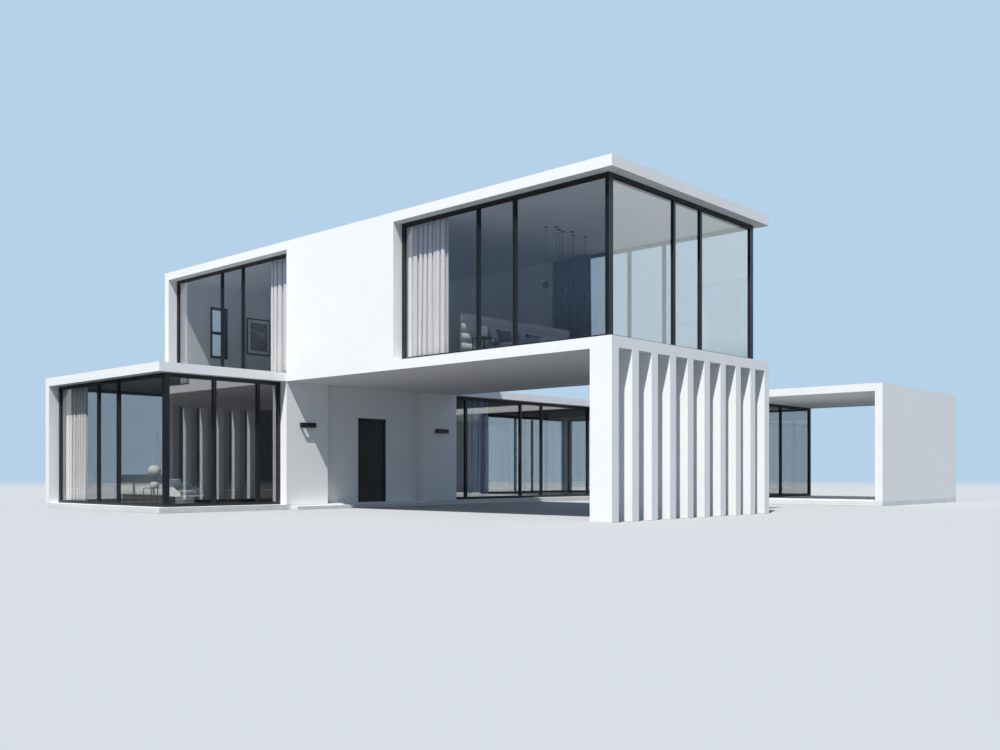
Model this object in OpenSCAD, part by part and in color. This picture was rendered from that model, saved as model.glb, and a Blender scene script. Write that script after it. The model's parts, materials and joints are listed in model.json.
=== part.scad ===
// Two-storey detached house of three long bars on a C-shaped plan.
// The upper bar bridges a carport and rests on a screen of fins.
// Millimetres, +Z up, origin on the ground at the middle of the plan.
// The long front faces -Y, and the fin screen faces +X.

/* [Plan] */
// Length of the upper storey along the front
front_length = 18700; // [17000:100:22000]
// Width of each of the three bars
bar_width = 7000; // [6600:50:7600]
// How far the front room stands out before the upper storey
front_reach = 4000; // [3400:50:5000]
// Depth of the courtyard between the upper storey and the far bar
court_depth = 7900; // [7000:50:10000]
// How far the far bar stops short of the upper storey's end
far_setback = 100; // [0:50:1000]
// Length of the covered terrace at the end of the far bar
terrace_length = 5600; // [3500:50:6000]

/* [Levels] */
// Height of the ground floor above the ground
plinth_height = 150; // [100:10:300]
// Height from the ground to the top of the upper floor
storey_height = 4000; // [3600:50:4500]
// Clear height of the upper rooms
upper_clear = 3600; // [3200:50:4000]
// Depth of the roofs and of the upper floor at their edges
slab_depth = 250; // [200:10:350]
// Depth of the tray inside the kerb of each roof
tray_depth = 70; // [30:5:120]
// Width of the kerb round each roof
kerb_width = 220; // [150:10:400]

/* [Walls] */
// Thickness of the end walls and piers
end_wall = 250; // [200:10:300]
// Thickness of the long outer walls
main_wall = 400; // [380:10:500]
// Depth of the piers in front of the glass
pier_depth = 600; // [500:10:900]
// Length of the window that turns the corner over the carport
corner_window = 7000; // [6400:50:8000]
// Distance from the upper front to the narrow window in the end wall
slit_start = 1600; // [1200:50:2500]
// Width of the narrow window in the end wall
slit_width = 700; // [500:10:900]
// Height of the narrow window's sill above the upper floor
slit_sill = 1100; // [800:50:1400]
// Height of the narrow window
slit_height = 1800; // [1400:50:2000]

/* [Fins] */
// Number of fins under the end of the upper storey
fin_count = 10; // [7:1:12]
// Thickness of a fin
fin_thickness = 250; // [180:10:320]
// Depth of a fin, along the length of the house
fin_depth = 590; // [400:10:800]

/* [Entry] */
// Depth of the niche that holds the entry door
niche_depth = 300; // [200:10:500]
// Distance from the upper front to the niche
niche_start = 1500; // [1300:10:1700]
// Width of the niche
niche_width = 4030; // [3300:10:4100]
// Distance from the niche's front corner to the door frame
door_offset = 1420; // [1000:10:1500]
// Width over the door frame
door_width = 1150; // [950:10:1250]
// Height over the door frame
door_height = 2660; // [2200:10:2900]
// Face width of the door frame
door_frame_face = 45; // [30:1:70]
// Thickness of the door leaf
leaf_thickness = 60; // [45:1:65]
// Gap round the leaf at the hinges, the head and the sill
leaf_gap = 5; // [4:0.5:8]
// Gap at the leaf's latch edge, which swings a little wide
latch_gap = 9; // [8:0.5:12]
// Height of the lever above the floor
lever_height = 1050; // [900:10:1150]
// Distance from the leaf's latch edge to the lever's spindle
lever_inset = 70; // [60:5:90]
// Height of the step in front of the niche
step_height = 100; // [50:5:100]
// How far the step stands out before the niche's piers
step_reach = 350; // [250:10:600]
// Distance from the upper front to the step, and from the niche to its end
step_margin = 150; // [50:10:400]

/* [Glazing] */
// Distance from a slab's edge back to the window frames
recess = 300; // [200:10:350]
// Distance from the slab's edge to the frames on the west side
west_recess = 150; // [100:10:200]
// Depth of the window frames
frame_depth = 100; // [80:5:100]
// Face width of an upper mullion
slim_post = 90; // [60:5:110]
// Face width of a ground-floor mullion
door_post = 110; // [60:5:130]
// Face width of the stile at each end of a window
end_post = 100; // [60:5:120]
// Face width of the stile beside a corner post
side_post = 60; // [35:5:80]
// Face height of the head rail
head_rail = 100; // [60:5:140]
// Face height of the sill rail
sill_rail = 80; // [60:5:140]
// Clear width of the narrow light between two mullions
narrow_bay = 1100; // [900:10:1300]
// Width of the courtyard window's first light, beside the entry pier
court_strip = 640; // [300:10:700]
// Width of the courtyard window's last light, beside the far corner
court_end_strip = 280; // [200:10:500]
// Width of the last light beside the entry pier
short_bay = 600; // [400:10:900]
// Thickness of the glass units
glass_thickness = 30; // [24:1:36]
// Distance from a frame's outer face to the glass
glass_setback = 40; // [25:1:45]
// Depth of the glass in its groove
glass_bite = 15; // [10:1:25]

/* [Fittings] */
// Length of a wall light
light_length = 520; // [400:10:700]
// Height of a wall light
light_height = 140; // [100:5:200]
// How far a wall light stands out from its wall
light_reach = 110; // [80:5:160]
// Height of the wall lights above the ground floor
light_level = 2270; // [1900:10:2500]
// Distance from the outer edge of each entry pier to the light's middle
light_inset = 730; // [500:10:900]
// Diameter of a pendant globe
globe_d = 190; // [120:5:240]
// Width of the picture on the upper end wall
picture_width = 1000; // [600:10:1200]
// Height of the picture
picture_height = 1310; // [800:10:1500]
// Distance from the upper front to the picture
picture_start = 3070; // [2700:10:4500]
// Height of the picture's lower edge above the upper floor
picture_level = 1370; // [900:10:1600]
// Width of the gathered curtains
curtain_width = 1450; // [1000:10:1600]
// Thickness of the curtains' folds
curtain_depth = 180; // [120:5:200]
// How far the corner room's front curtain runs on behind its wall
curtain_tuck = 150; // [0:10:300]

/* [Bedroom] */
// Distance from the end of the upper front wall to the headboard's face
headboard_offset = 1150; // [1000:10:1300]
// Distance from the middle of the upper bar to the middle of the headboard
bed_shift = 150; // [0:10:200]
// Distance from the headboard's middle to the bed's, towards the back
bed_offset = -350; // [-500:10:500]
// Length of the headboard
headboard_length = 4600; // [4300:20:4700]
// Height of the headboard
headboard_height = 1300; // [1100:10:1400]
// Thickness of the headboard
headboard_depth = 150; // [100:5:200]
// Width of the mattress
bed_width = 2000; // [1600:20:2200]
// Length of the mattress
bed_length = 2100; // [2000:20:2200]
// Height of the bed's base
bed_base_height = 300; // [240:10:340]
// Thickness of the mattress
mattress_depth = 240; // [180:10:280]
// Gap between the bed and each bedside table
bedside_gap = 100; // [60:10:400]
// Height of the bedside tables
bedside_height = 640; // [450:10:700]

/* [Living room] */
// Length of the sofa
sofa_length = 2700; // [2400:20:2800]
// Depth of the sofa
sofa_depth = 950; // [850:10:1050]
// Height of the sofa's back above the floor
sofa_height = 880; // [780:10:950]
// Height of the sofa's seat above the floor
sofa_seat = 430; // [380:10:480]
// Thickness of the sofa's back and arms
sofa_side = 220; // [160:10:260]
// Distance from the front window's line to the sofa's back
sofa_from_front = 1450; // [1350:10:1600]
// Distance from the side window's line to the sofa's end
sofa_from_side = 2650; // [2550:10:2750]
// Height of the table beside the sofa
lamp_table_height = 490; // [400:10:550]
// Width of the small tables
table_width = 450; // [400:10:500]
// Diameter of the table lamp's globe
lamp_d = 370; // [280:5:400]
// Width of the lounge chair
chair_width = 760; // [680:10:820]
// Depth of the lounge chair
chair_depth = 780; // [720:10:840]
// Height of the lounge chair's arms above the floor
chair_arm = 510; // [460:10:560]
// Diameter of a pouf
pouf_d = 760; // [600:10:800]
// Height of a pouf
pouf_height = 480; // [380:10:520]

/* [Hidden] */
// Clearance between pieces that seat on one another
seat = 0.3;
// Overlap that lets a cut run out past a face
past = 10;
$fn = 48;

// Plan: faces of the three bars, from west to east and front to back
plan_depth = front_reach + bar_width + court_depth + bar_width;
x_west = -front_length / 2;
x_east = front_length / 2;
x_inner = x_west + bar_width;
x_far_end = x_east - far_setback;
x_terrace = x_far_end - terrace_length;
x_corner = x_east - corner_window;
y_front = -plan_depth / 2;
y_upper = y_front + front_reach;
y_upper_back = y_upper + bar_width;
y_far = y_upper_back + court_depth;
y_back = plan_depth / 2;

// Levels
z_floor = plinth_height;
z_ceiling = storey_height - slab_depth;
z_upper = storey_height;
z_upper_ceiling = z_upper + upper_clear;
z_top = z_upper_ceiling + slab_depth;
room_height = z_ceiling - z_floor;

// Lines of the glazing, at the frames' outer faces
x_glass_east = x_east - recess;
x_glass_inner = x_inner - recess;
x_glass_west = x_west + west_recess;
y_glass_front = y_front + recess;
y_glass_upper = y_upper + recess;
y_glass_upper_back = y_upper_back - recess;
y_glass_far = y_far + recess;
y_glass_back = y_back - recess;
corner_post = frame_depth;

// Entry
x_niche = x_inner - niche_depth;
x_entry_inner = x_niche - end_wall;
y_niche = y_upper + niche_start;
y_niche_back = y_niche + niche_width;
y_door = y_niche + door_offset;
z_door_head = z_floor + door_height;
door_lip = 16;
door_lip_depth = 20;
door_frame_depth = door_lip_depth + leaf_gap + leaf_thickness;
threshold = 20;
leaf_y = y_door + door_frame_face + leaf_gap;
leaf_width = door_width - 2 * door_frame_face - leaf_gap - latch_gap;
leaf_z = z_floor + threshold + leaf_gap;
leaf_height = door_height - door_frame_face - threshold - 2 * leaf_gap;
leaf_inner_x = x_niche - door_frame_depth;
leaf_outer_x = leaf_inner_x + leaf_thickness;
hinge_r = 9;
hinge_x = leaf_inner_x - hinge_r - seat;
hinge_y = leaf_y - leaf_gap / 2;
hinge_length = 120;
hinge_inset = 250;
hinge_plate = 30;
hinge_plate_t = 4;
lever_y = leaf_y + leaf_width - lever_inset;
lever_z = z_floor + lever_height;
spindle_r = 5;

// Bed: face and middle of the headboard, middle of the bed, and its levels
x_bed = x_corner + headboard_offset;
y_headboard = y_upper + bar_width / 2 + bed_shift;
y_bed = y_headboard + bed_offset;
z_mattress = z_upper + bed_base_height + seat;
z_linen = z_mattress + mattress_depth + seat;
bed_edge = 30;

// Sofa: its back stands towards the front window
x_sofa_end = x_glass_inner - sofa_from_side;
x_sofa = x_sofa_end - sofa_length;
y_sofa = y_glass_front + sofa_from_front;
sofa_leg = 120;
sofa_rail = 130;
z_sofa = z_floor + sofa_leg + sofa_rail + seat;

// Middle of the loose furniture, from the corner of the front room's glazing
lamp_table_place = [-2195, 925];
chair_place = [-1400, 1400];
pouf_places = [[-1750, 3050], [-1150, 4050]];
chair_seat = 280;
chair_shell = 30;

// Curtain tracks, drips under the slabs' edges
track_height = 18;
track_width = 50;
drip_inset = 60;
drip_width = 12;
drip_depth = 10;

// Pendants: place along the room, across it, and drop from the ceiling
pendants = [
    [-4400, 3100, 1550], [-4200, 3280, 1780], [-4320, 3560, 1830],
    [-4400, 3800, 1570], [-4200, 3980, 1620], [-4440, 4330, 1730],
    [-4300, 4680, 1660]
];
canopy_d = 90;
canopy_h = 25;
rod_d = 8;

// A box between its lowest and its highest corner
module block(low, high) {
    translate(low) cube(high - low);
}

// A roof slab with a kerb round a shallow tray
module roof(low, high) {
    rim = [kerb_width, kerb_width, 0];
    difference() {
        block(low, high);
        block([low.x, low.y, high.z - tray_depth] + rim,
              [high.x, high.y, high.z + past] - rim);
    }
}

// Grooves along a line of points under a slab, where rain drips off
module drips(points, z) {
    half = drip_width / 2;
    for (i = [0 : len(points) - 2]) {
        a = points[i];
        b = points[i + 1];
        block([min(a.x, b.x) - half, min(a.y, b.y) - half, z - past],
              [max(a.x, b.x) + half, max(a.y, b.y) + half, z + drip_depth]);
    }
}

// Distance from a window's start to the start of post i
function post_at(posts, bays, i) =
    i == 0 ? 0 : post_at(posts, bays, i - 1) + posts[i - 1] + bays[i - 1];

// Wide, narrow and wide lights that fill a length beside their posts
function three_bays(length, posts) =
    let (wide = (length - posts[0] - posts[1] - posts[2] - posts[3]
                 - narrow_bay) / 2)
    [wide, narrow_bay, wide];

// A window frame along +X with its outer face on Y = 0, grooved for glass
module frame_bars(posts, bays, height, sill = sill_rail, head = head_rail) {
    last = len(posts) - 1;
    length = post_at(posts, bays, last) + posts[last];
    slot = glass_thickness + 2 * seat;
    light = height - sill - head;
    difference() {
        cube([length, frame_depth, height]);
        for (i = [0 : last - 1]) {
            x = post_at(posts, bays, i) + posts[i];
            translate([x, -past, sill])
                cube([bays[i], frame_depth + 2 * past, light]);
            translate([x - glass_bite, glass_setback - seat, sill - glass_bite])
                cube([bays[i] + 2 * glass_bite, slot, light + 2 * glass_bite]);
        }
    }
}

// The glass units of that frame, seated on the groove's floor
module panes(posts, bays, height, sill = sill_rail, head = head_rail) {
    light = height - sill - head;
    for (i = [0 : len(bays) - 1]) {
        x = post_at(posts, bays, i) + posts[i];
        translate([x - glass_bite + seat, glass_setback, sill - glass_bite])
            cube([bays[i] + 2 * (glass_bite - seat), glass_thickness,
                  light + 2 * glass_bite - seat]);
    }
}

// Places a window: each one starts at its left end, seen from outside
module facing_front(x, y, z) {
    translate([x, y, z]) children();
}
module facing_east(x, y, z) {
    translate([x, y, z]) rotate([0, 0, 90]) children();
}
module facing_back(x, y, z) {
    translate([x, y, z]) rotate([0, 0, 180]) children();
}
module facing_west(x, y, z) {
    translate([x, y, z]) rotate([0, 0, -90]) children();
}

// Posts and lights of each window, as lists
corner_posts = [end_post, slim_post, slim_post, corner_post];
corner_bays = three_bays(corner_window - recess, corner_posts);
corner_back_posts = [corner_post, slim_post, slim_post, end_post];
side_posts = [side_post, slim_post, slim_post, side_post];
side_length = bar_width - 2 * recess - 2 * corner_post;
side_bays = three_bays(side_length, side_posts);
upper_west_posts = [end_post, slim_post, slim_post, end_post];
upper_west_length = bar_width - end_wall;
upper_west_bays = three_bays(upper_west_length, upper_west_posts);
slit_posts = [slim_post, slim_post];
slit_bays = [slit_width - 2 * slim_post];
front_posts = [end_post, door_post, door_post, corner_post];
front_length_glass = bar_width - end_wall - recess;
front_bays = three_bays(front_length_glass, front_posts);
front_side_posts = [side_post, door_post, door_post, end_post];
front_side_length = front_reach - recess - corner_post;
front_side_wide = (front_side_length - short_bay - side_post
                   - 2 * door_post - end_post) / 2;
front_side_bays = [front_side_wide, front_side_wide, short_bay];
front_west_posts = [end_post, door_post, end_post];
front_west_length = front_reach - pier_depth;
front_west_wide = (front_west_length - door_post - 2 * end_post) / 2;
front_west_bays = [front_west_wide, front_west_wide];
court_posts = [end_post, door_post, door_post, door_post, door_post, side_post];
court_length = court_depth + recess;
court_wide = (court_length - court_strip - court_end_strip - narrow_bay
              - end_post - 4 * door_post - side_post) / 2;
court_bays = [court_strip, court_wide, narrow_bay, court_wide, court_end_strip];
far_front_length = x_terrace - x_glass_inner + corner_post;
far_front_posts = [corner_post, door_post, door_post, corner_post];
far_front_bays = three_bays(far_front_length, far_front_posts);
terrace_posts = [side_post, door_post, door_post, side_post];
terrace_span = bar_width - 2 * recess - 2 * corner_post;
terrace_bays = three_bays(terrace_span, terrace_posts);
far_back_length = x_terrace - x_west - end_wall;
far_back_wide = (far_back_length - corner_post - 5 * door_post - end_post
                 - 2 * narrow_bay) / 4;
far_back_posts = [corner_post, door_post, door_post, door_post, door_post,
                  door_post, end_post];
far_back_bays = [far_back_wide, narrow_bay, far_back_wide, far_back_wide,
                 narrow_bay, far_back_wide];
far_west_posts = [end_post, door_post, door_post, end_post];
far_west_length = bar_width - recess - pier_depth;
far_west_bays = three_bays(far_west_length, far_west_posts);

wall_white = "whitesmoke";
frame_black = "#1c1e22";
glass_tint = [0.55, 0.68, 0.70, 0.45];

// Ground works

module west_plinth() {
    color("lightgray")
        block([x_west, y_front, 0], [x_inner, y_back, z_floor]);
}

module far_plinth() {
    color("lightgray")
        block([x_inner, y_far, 0], [x_far_end, y_back, z_floor]);
}

module entry_step() {
    color("lightgray")
        block([x_inner, y_upper + step_margin, 0],
              [x_inner + step_reach, y_niche_back + step_margin, step_height]);
}

// Slabs and roofs

// The drips of the upper floor run over the carport, between bar and fins
module upper_floor() {
    start = x_inner + drip_inset;
    end = x_east - fin_depth - drip_inset;
    color(wall_white) difference() {
        block([x_west, y_upper, z_ceiling], [x_east, y_upper_back, z_upper]);
        for (y = [y_upper + drip_inset, y_upper_back - drip_inset])
            drips([[start, y], [end, y]], z_ceiling);
    }
}

module upper_roof() {
    front = y_upper + drip_inset;
    back = y_upper_back - drip_inset;
    start = x_corner + drip_inset;
    end = x_east - drip_inset;
    color(wall_white) difference() {
        roof([x_west, y_upper, z_upper_ceiling], [x_east, y_upper_back, z_top]);
        drips([[start, front], [end, front], [end, back], [start, back]],
              z_upper_ceiling);
        for (y = [front, back])
            drips([[x_west + end_wall + drip_inset, y],
                   [x_inner - drip_inset, y]], z_upper_ceiling);
    }
}

module front_roof() {
    front = y_front + drip_inset;
    side = x_inner - drip_inset;
    color(wall_white) difference() {
        roof([x_west, y_front, z_ceiling], [x_inner, y_upper, z_upper]);
        drips([[x_west + end_wall + drip_inset, front], [side, front],
               [side, y_upper - drip_inset]], z_ceiling);
    }
}

// The courtyard roof's tray runs on into the far roof's
module court_roof() {
    color(wall_white) difference() {
        block([x_west, y_upper_back, z_ceiling], [x_inner, y_far, z_upper]);
        block([x_west + kerb_width, y_upper_back + kerb_width,
               z_upper - tray_depth],
              [x_inner - kerb_width, y_far + past, z_upper + past]);
        drips([[x_inner - drip_inset, y_upper_back + drip_inset],
               [x_inner - drip_inset, y_far + past]], z_ceiling);
    }
}

module far_roof() {
    side = x_inner - drip_inset;
    end = x_far_end - end_wall - drip_inset;
    front = y_far + drip_inset;
    back = y_back - drip_inset;
    color(wall_white) difference() {
        roof([x_west, y_far, z_ceiling], [x_far_end, y_back, z_upper]);
        block([x_west + kerb_width, y_far - past, z_upper - tray_depth],
              [x_inner - kerb_width, y_far + kerb_width + past,
               z_upper + past]);
        drips([[side, y_far - past], [side, front], [end, front]], z_ceiling);
        drips([[x_west + end_wall + drip_inset, back], [end, back]], z_ceiling);
    }
}

// Walls and piers

// The piers that frame the front room's window and the far room's
module west_piers() {
    color(wall_white) for (y = [y_front, y_back - pier_depth])
        block([x_west, y, z_floor],
              [x_west + end_wall, y + pier_depth, z_ceiling]);
}

module west_wall() {
    color(wall_white)
        block([x_west, y_upper, z_floor],
              [x_west + main_wall, y_glass_far, z_ceiling]);
}

module entry_pier_front() {
    color(wall_white)
        block([x_entry_inner, y_upper, z_floor], [x_inner, y_niche, z_ceiling]);
}

module entry_pier_back() {
    color(wall_white)
        block([x_entry_inner, y_niche_back, z_floor],
              [x_inner, y_upper_back, z_ceiling]);
}

module entry_wall_left() {
    color(wall_white)
        block([x_entry_inner, y_niche, z_floor], [x_niche, y_door, z_ceiling]);
}

module entry_wall_right() {
    color(wall_white)
        block([x_entry_inner, y_door + door_width, z_floor],
              [x_niche, y_niche_back, z_ceiling]);
}

module entry_wall_over() {
    color(wall_white)
        block([x_entry_inner, y_door, z_door_head],
              [x_niche, y_door + door_width, z_ceiling]);
}

module far_end_wall() {
    color(wall_white)
        block([x_far_end - end_wall, y_far, z_floor],
              [x_far_end, y_back, z_ceiling]);
}

// Fins carry the end of the upper storey and share its width evenly
module fins() {
    pitch = (bar_width - fin_thickness) / (fin_count - 1);
    color(wall_white) for (i = [0 : fin_count - 1])
        translate([x_east - fin_depth, y_upper + i * pitch, 0])
            cube([fin_depth, fin_thickness, z_ceiling]);
}

module upper_front_wall() {
    color(wall_white)
        block([x_inner, y_upper, z_upper],
              [x_corner, y_upper + main_wall, z_upper_ceiling]);
}

module upper_back_wall() {
    color(wall_white)
        block([x_inner, y_upper_back - main_wall, z_upper],
              [x_corner, y_upper_back, z_upper_ceiling]);
}

module upper_end_wall() {
    color(wall_white) difference() {
        block([x_west, y_upper, z_upper],
              [x_west + end_wall, y_upper_back, z_upper_ceiling]);
        block([x_west - past, y_upper + slit_start, z_upper + slit_sill],
              [x_west + end_wall + past, y_upper + slit_start + slit_width,
               z_upper + slit_sill + slit_height]);
    }
}

// Windows: place of each one, shared by its frame and its glass

module at_front_room() {
    facing_front(x_west + end_wall, y_glass_front, z_floor) children();
}
module at_front_room_side() {
    facing_east(x_glass_inner, y_glass_front + corner_post, z_floor) children();
}
module at_front_room_west() {
    facing_west(x_glass_west, y_upper, z_floor) children();
}
module at_court() {
    facing_east(x_glass_inner, y_upper_back, z_floor) children();
}
module at_far_front() {
    facing_front(x_glass_inner - corner_post, y_glass_far, z_floor) children();
}
module at_terrace() {
    facing_east(x_terrace, y_glass_far + corner_post, z_floor) children();
}
module at_far_back() {
    facing_back(x_terrace, y_glass_back, z_floor) children();
}
module at_far_west() {
    facing_west(x_glass_west, y_back - pier_depth, z_floor) children();
}
module at_upper_corner() {
    facing_front(x_corner, y_glass_upper, z_upper) children();
}
module at_upper_side() {
    facing_east(x_glass_east, y_glass_upper + corner_post, z_upper) children();
}
module at_upper_corner_back() {
    facing_back(x_glass_east, y_glass_upper_back, z_upper) children();
}
module at_upper_west() {
    facing_front(x_west + end_wall, y_glass_upper, z_upper) children();
}
module at_upper_west_back() {
    facing_back(x_inner, y_glass_upper_back, z_upper) children();
}
module at_slit() {
    facing_west(x_west + end_wall - frame_depth,
                y_upper + slit_start + slit_width, z_upper + slit_sill)
        children();
}

module front_room_frame() {
    color(frame_black) at_front_room()
        frame_bars(front_posts, front_bays, room_height);
}
module front_room_side_frame() {
    color(frame_black) at_front_room_side()
        frame_bars(front_side_posts, front_side_bays, room_height);
}
module west_frames() {
    color(frame_black) {
        at_front_room_west()
            frame_bars(front_west_posts, front_west_bays, room_height);
        at_far_west() frame_bars(far_west_posts, far_west_bays, room_height);
    }
}
module court_frame() {
    color(frame_black) at_court()
        frame_bars(court_posts, court_bays, room_height);
}
module far_room_frames() {
    color(frame_black) {
        at_far_front()
            frame_bars(far_front_posts, far_front_bays, room_height);
        at_far_back() frame_bars(far_back_posts, far_back_bays, room_height);
    }
}
module terrace_frame() {
    color(frame_black) at_terrace()
        frame_bars(terrace_posts, terrace_bays, room_height);
}
module upper_corner_frames() {
    color(frame_black) {
        at_upper_corner() frame_bars(corner_posts, corner_bays, upper_clear);
        at_upper_corner_back()
            frame_bars(corner_back_posts, corner_bays, upper_clear);
    }
}
module upper_side_frame() {
    color(frame_black) at_upper_side()
        frame_bars(side_posts, side_bays, upper_clear);
}
module upper_west_frames() {
    color(frame_black) {
        at_upper_west()
            frame_bars(upper_west_posts, upper_west_bays, upper_clear);
        at_upper_west_back()
            frame_bars(upper_west_posts, upper_west_bays, upper_clear);
        slit_lights() frame_bars(slit_posts, slit_bays, slit_height / 2,
                                 $sill, $head);
    }
}

// The narrow window's two lights, one over the other, share a transom
module slit_lights() {
    at_slit() {
        let ($sill = slim_post, $head = slim_post / 2) children();
        translate([0, 0, slit_height / 2])
            let ($sill = slim_post / 2, $head = slim_post) children();
    }
}

module west_bar_glass() {
    color(glass_tint) {
        at_front_room() panes(front_posts, front_bays, room_height);
        at_front_room_side()
            panes(front_side_posts, front_side_bays, room_height);
        at_front_room_west()
            panes(front_west_posts, front_west_bays, room_height);
        at_court() panes(court_posts, court_bays, room_height);
    }
}
module far_room_glass() {
    color(glass_tint) {
        at_far_front() panes(far_front_posts, far_front_bays, room_height);
        at_terrace() panes(terrace_posts, terrace_bays, room_height);
        at_far_back() panes(far_back_posts, far_back_bays, room_height);
        at_far_west() panes(far_west_posts, far_west_bays, room_height);
    }
}
module upper_corner_glass() {
    color(glass_tint) {
        at_upper_corner() panes(corner_posts, corner_bays, upper_clear);
        at_upper_side() panes(side_posts, side_bays, upper_clear);
        at_upper_corner_back()
            panes(corner_back_posts, corner_bays, upper_clear);
    }
}
module upper_west_glass() {
    color(glass_tint) {
        at_upper_west()
            panes(upper_west_posts, upper_west_bays, upper_clear);
        at_upper_west_back()
            panes(upper_west_posts, upper_west_bays, upper_clear);
        slit_lights() panes(slit_posts, slit_bays, slit_height / 2,
                            $sill, $head);
    }
}

// Entry door: a rebated frame, a leaf that opens inwards and its lever

module at_hinges() {
    for (z = [leaf_z + hinge_inset,
              leaf_z + (leaf_height - hinge_length) / 2,
              leaf_z + leaf_height - hinge_inset - hinge_length])
        translate([hinge_x, hinge_y, z]) children();
}

// Half a hinge: a knuckle and the plate that screws it to its side
module half_hinge(side) {
    half = hinge_length / 2 - seat;
    cylinder(r = hinge_r, h = half);
    translate([hinge_r + seat - hinge_plate_t, side > 0 ? 0 : -hinge_plate, 0])
        cube([hinge_plate_t, hinge_plate, half]);
}

module door_frame() {
    inner = door_frame_face;
    lip = door_frame_face + door_lip;
    y_end = y_door + door_width;
    color(frame_black) {
        difference() {
            block([x_niche - door_frame_depth, y_door, z_floor],
                  [x_niche, y_end, z_door_head]);
            block([x_niche - door_frame_depth - past, y_door + inner,
                   z_floor + threshold],
                  [x_niche - door_lip_depth, y_end - inner,
                   z_door_head - inner]);
            block([x_niche - door_lip_depth - past, y_door + lip,
                   z_floor + threshold],
                  [x_niche + past, y_end - lip, z_door_head - lip]);
        }
        at_hinges() half_hinge(-1);
    }
}

module door_leaf() {
    color("#23272e") {
        difference() {
            block([leaf_inner_x, leaf_y, leaf_z],
                  [leaf_outer_x, leaf_y + leaf_width, leaf_z + leaf_height]);
            translate([leaf_inner_x - past, lever_y, lever_z])
                rotate([0, 90, 0])
                    cylinder(r = spindle_r + seat, h = leaf_thickness + 2 * past);
        }
        at_hinges() translate([0, 0, hinge_length / 2]) half_hinge(1);
    }
}

module door_handle() {
    rose_r = 26;
    rose_h = 9;
    neck = 48;
    lever_r = 10;
    lever_length = 125;
    color("#2b2d31") translate([leaf_inner_x, lever_y, lever_z]) {
        rotate([0, 90, 0]) translate([0, 0, -neck])
            cylinder(r = spindle_r, h = leaf_thickness + 2 * neck);
        for (x = [-rose_h - seat, leaf_thickness + seat])
            translate([x, 0, 0]) rotate([0, 90, 0])
                cylinder(r = rose_r, h = rose_h);
        for (x = [-neck, leaf_thickness + neck])
            translate([x, lever_r, 0]) rotate([90, 0, 0])
                cylinder(r = lever_r, h = lever_length);
    }
}

// Fittings

// A box that is open above and below, with a lamp body across its middle
module wall_light(y) {
    shell = 8;
    slot_depth = 40;
    lamp_start = light_length / 3;
    inside = [light_reach - 2 * shell, light_length - 2 * shell];
    translate([x_inner, y - light_length / 2, z_floor + light_level])
        difference() {
            cube([light_reach, light_length, light_height]);
            for (z = [-past, light_height - slot_depth])
                translate([shell, shell, z])
                    cube([inside.x, inside.y, slot_depth + past]);
            for (start = [shell, light_length - lamp_start])
                translate([shell, start, -past])
                    cube([inside.x, lamp_start - shell,
                          light_height + 2 * past]);
        }
}

module wall_lights() {
    color("#18191b") {
        wall_light(y_upper + light_inset);
        wall_light(y_upper_back - light_inset);
    }
}

module at_pendants() {
    for (p = pendants)
        translate([x_east + p.x, y_upper + p.y, z_upper_ceiling])
            let ($drop = p.z) children();
}

module pendant_rods() {
    color("#202124") at_pendants() {
        translate([0, 0, -canopy_h - seat]) cylinder(d = canopy_d, h = canopy_h);
        translate([0, 0, -$drop + globe_d / 2 + seat])
            cylinder(d = rod_d, h = $drop - globe_d / 2 - canopy_h);
    }
}

module pendant_globes() {
    color("#3a4046") at_pendants() translate([0, 0, -$drop]) sphere(d = globe_d);
}

module picture() {
    edge = 45;
    depth = 35;
    sink = 15;
    low = [x_west + end_wall, y_upper + picture_start, z_upper + picture_level];
    color("#30343a") translate(low) difference() {
        cube([depth, picture_width, picture_height]);
        translate([depth - sink, edge, edge])
            cube([sink + past, picture_width - 2 * edge,
                  picture_height - 2 * edge]);
    }
}

// Curtains: the space that each one's folds take behind its window

curtain_gap = 50;
curtain_lift = 15;
curtain_edge = 60;

curtain_offset = frame_depth + curtain_gap;
y_curtain_front = y_glass_front + curtain_offset;
y_curtain_upper = y_glass_upper + curtain_offset;
y_curtain_upper_back = y_glass_upper_back - curtain_offset - curtain_depth;
x_curtain_court = x_glass_inner - curtain_offset - curtain_depth;
y_curtain_court = y_upper_back + end_post + court_strip;
x_curtain_corner = x_corner + curtain_edge;
corner_curtain = curtain_tuck + curtain_edge + curtain_width;
x_curtain_upper_west = x_inner - curtain_edge - curtain_width;
x_curtain_west = x_west + end_wall + curtain_edge;

module hanging(x, y, low, high, width = curtain_width,
               depth = curtain_depth) {
    translate([x, y, low + curtain_lift])
        cube([width, depth, high - track_height - seat - low - curtain_lift]);
}

// A track under the ceiling, over the middle of a curtain's folds
module track(x, y, ceiling, width = curtain_width, turn = 0) {
    translate([x, y, ceiling - track_height]) rotate([0, 0, turn])
        translate([0, -track_width / 2, 0])
            cube([width, track_width, track_height]);
}

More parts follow.
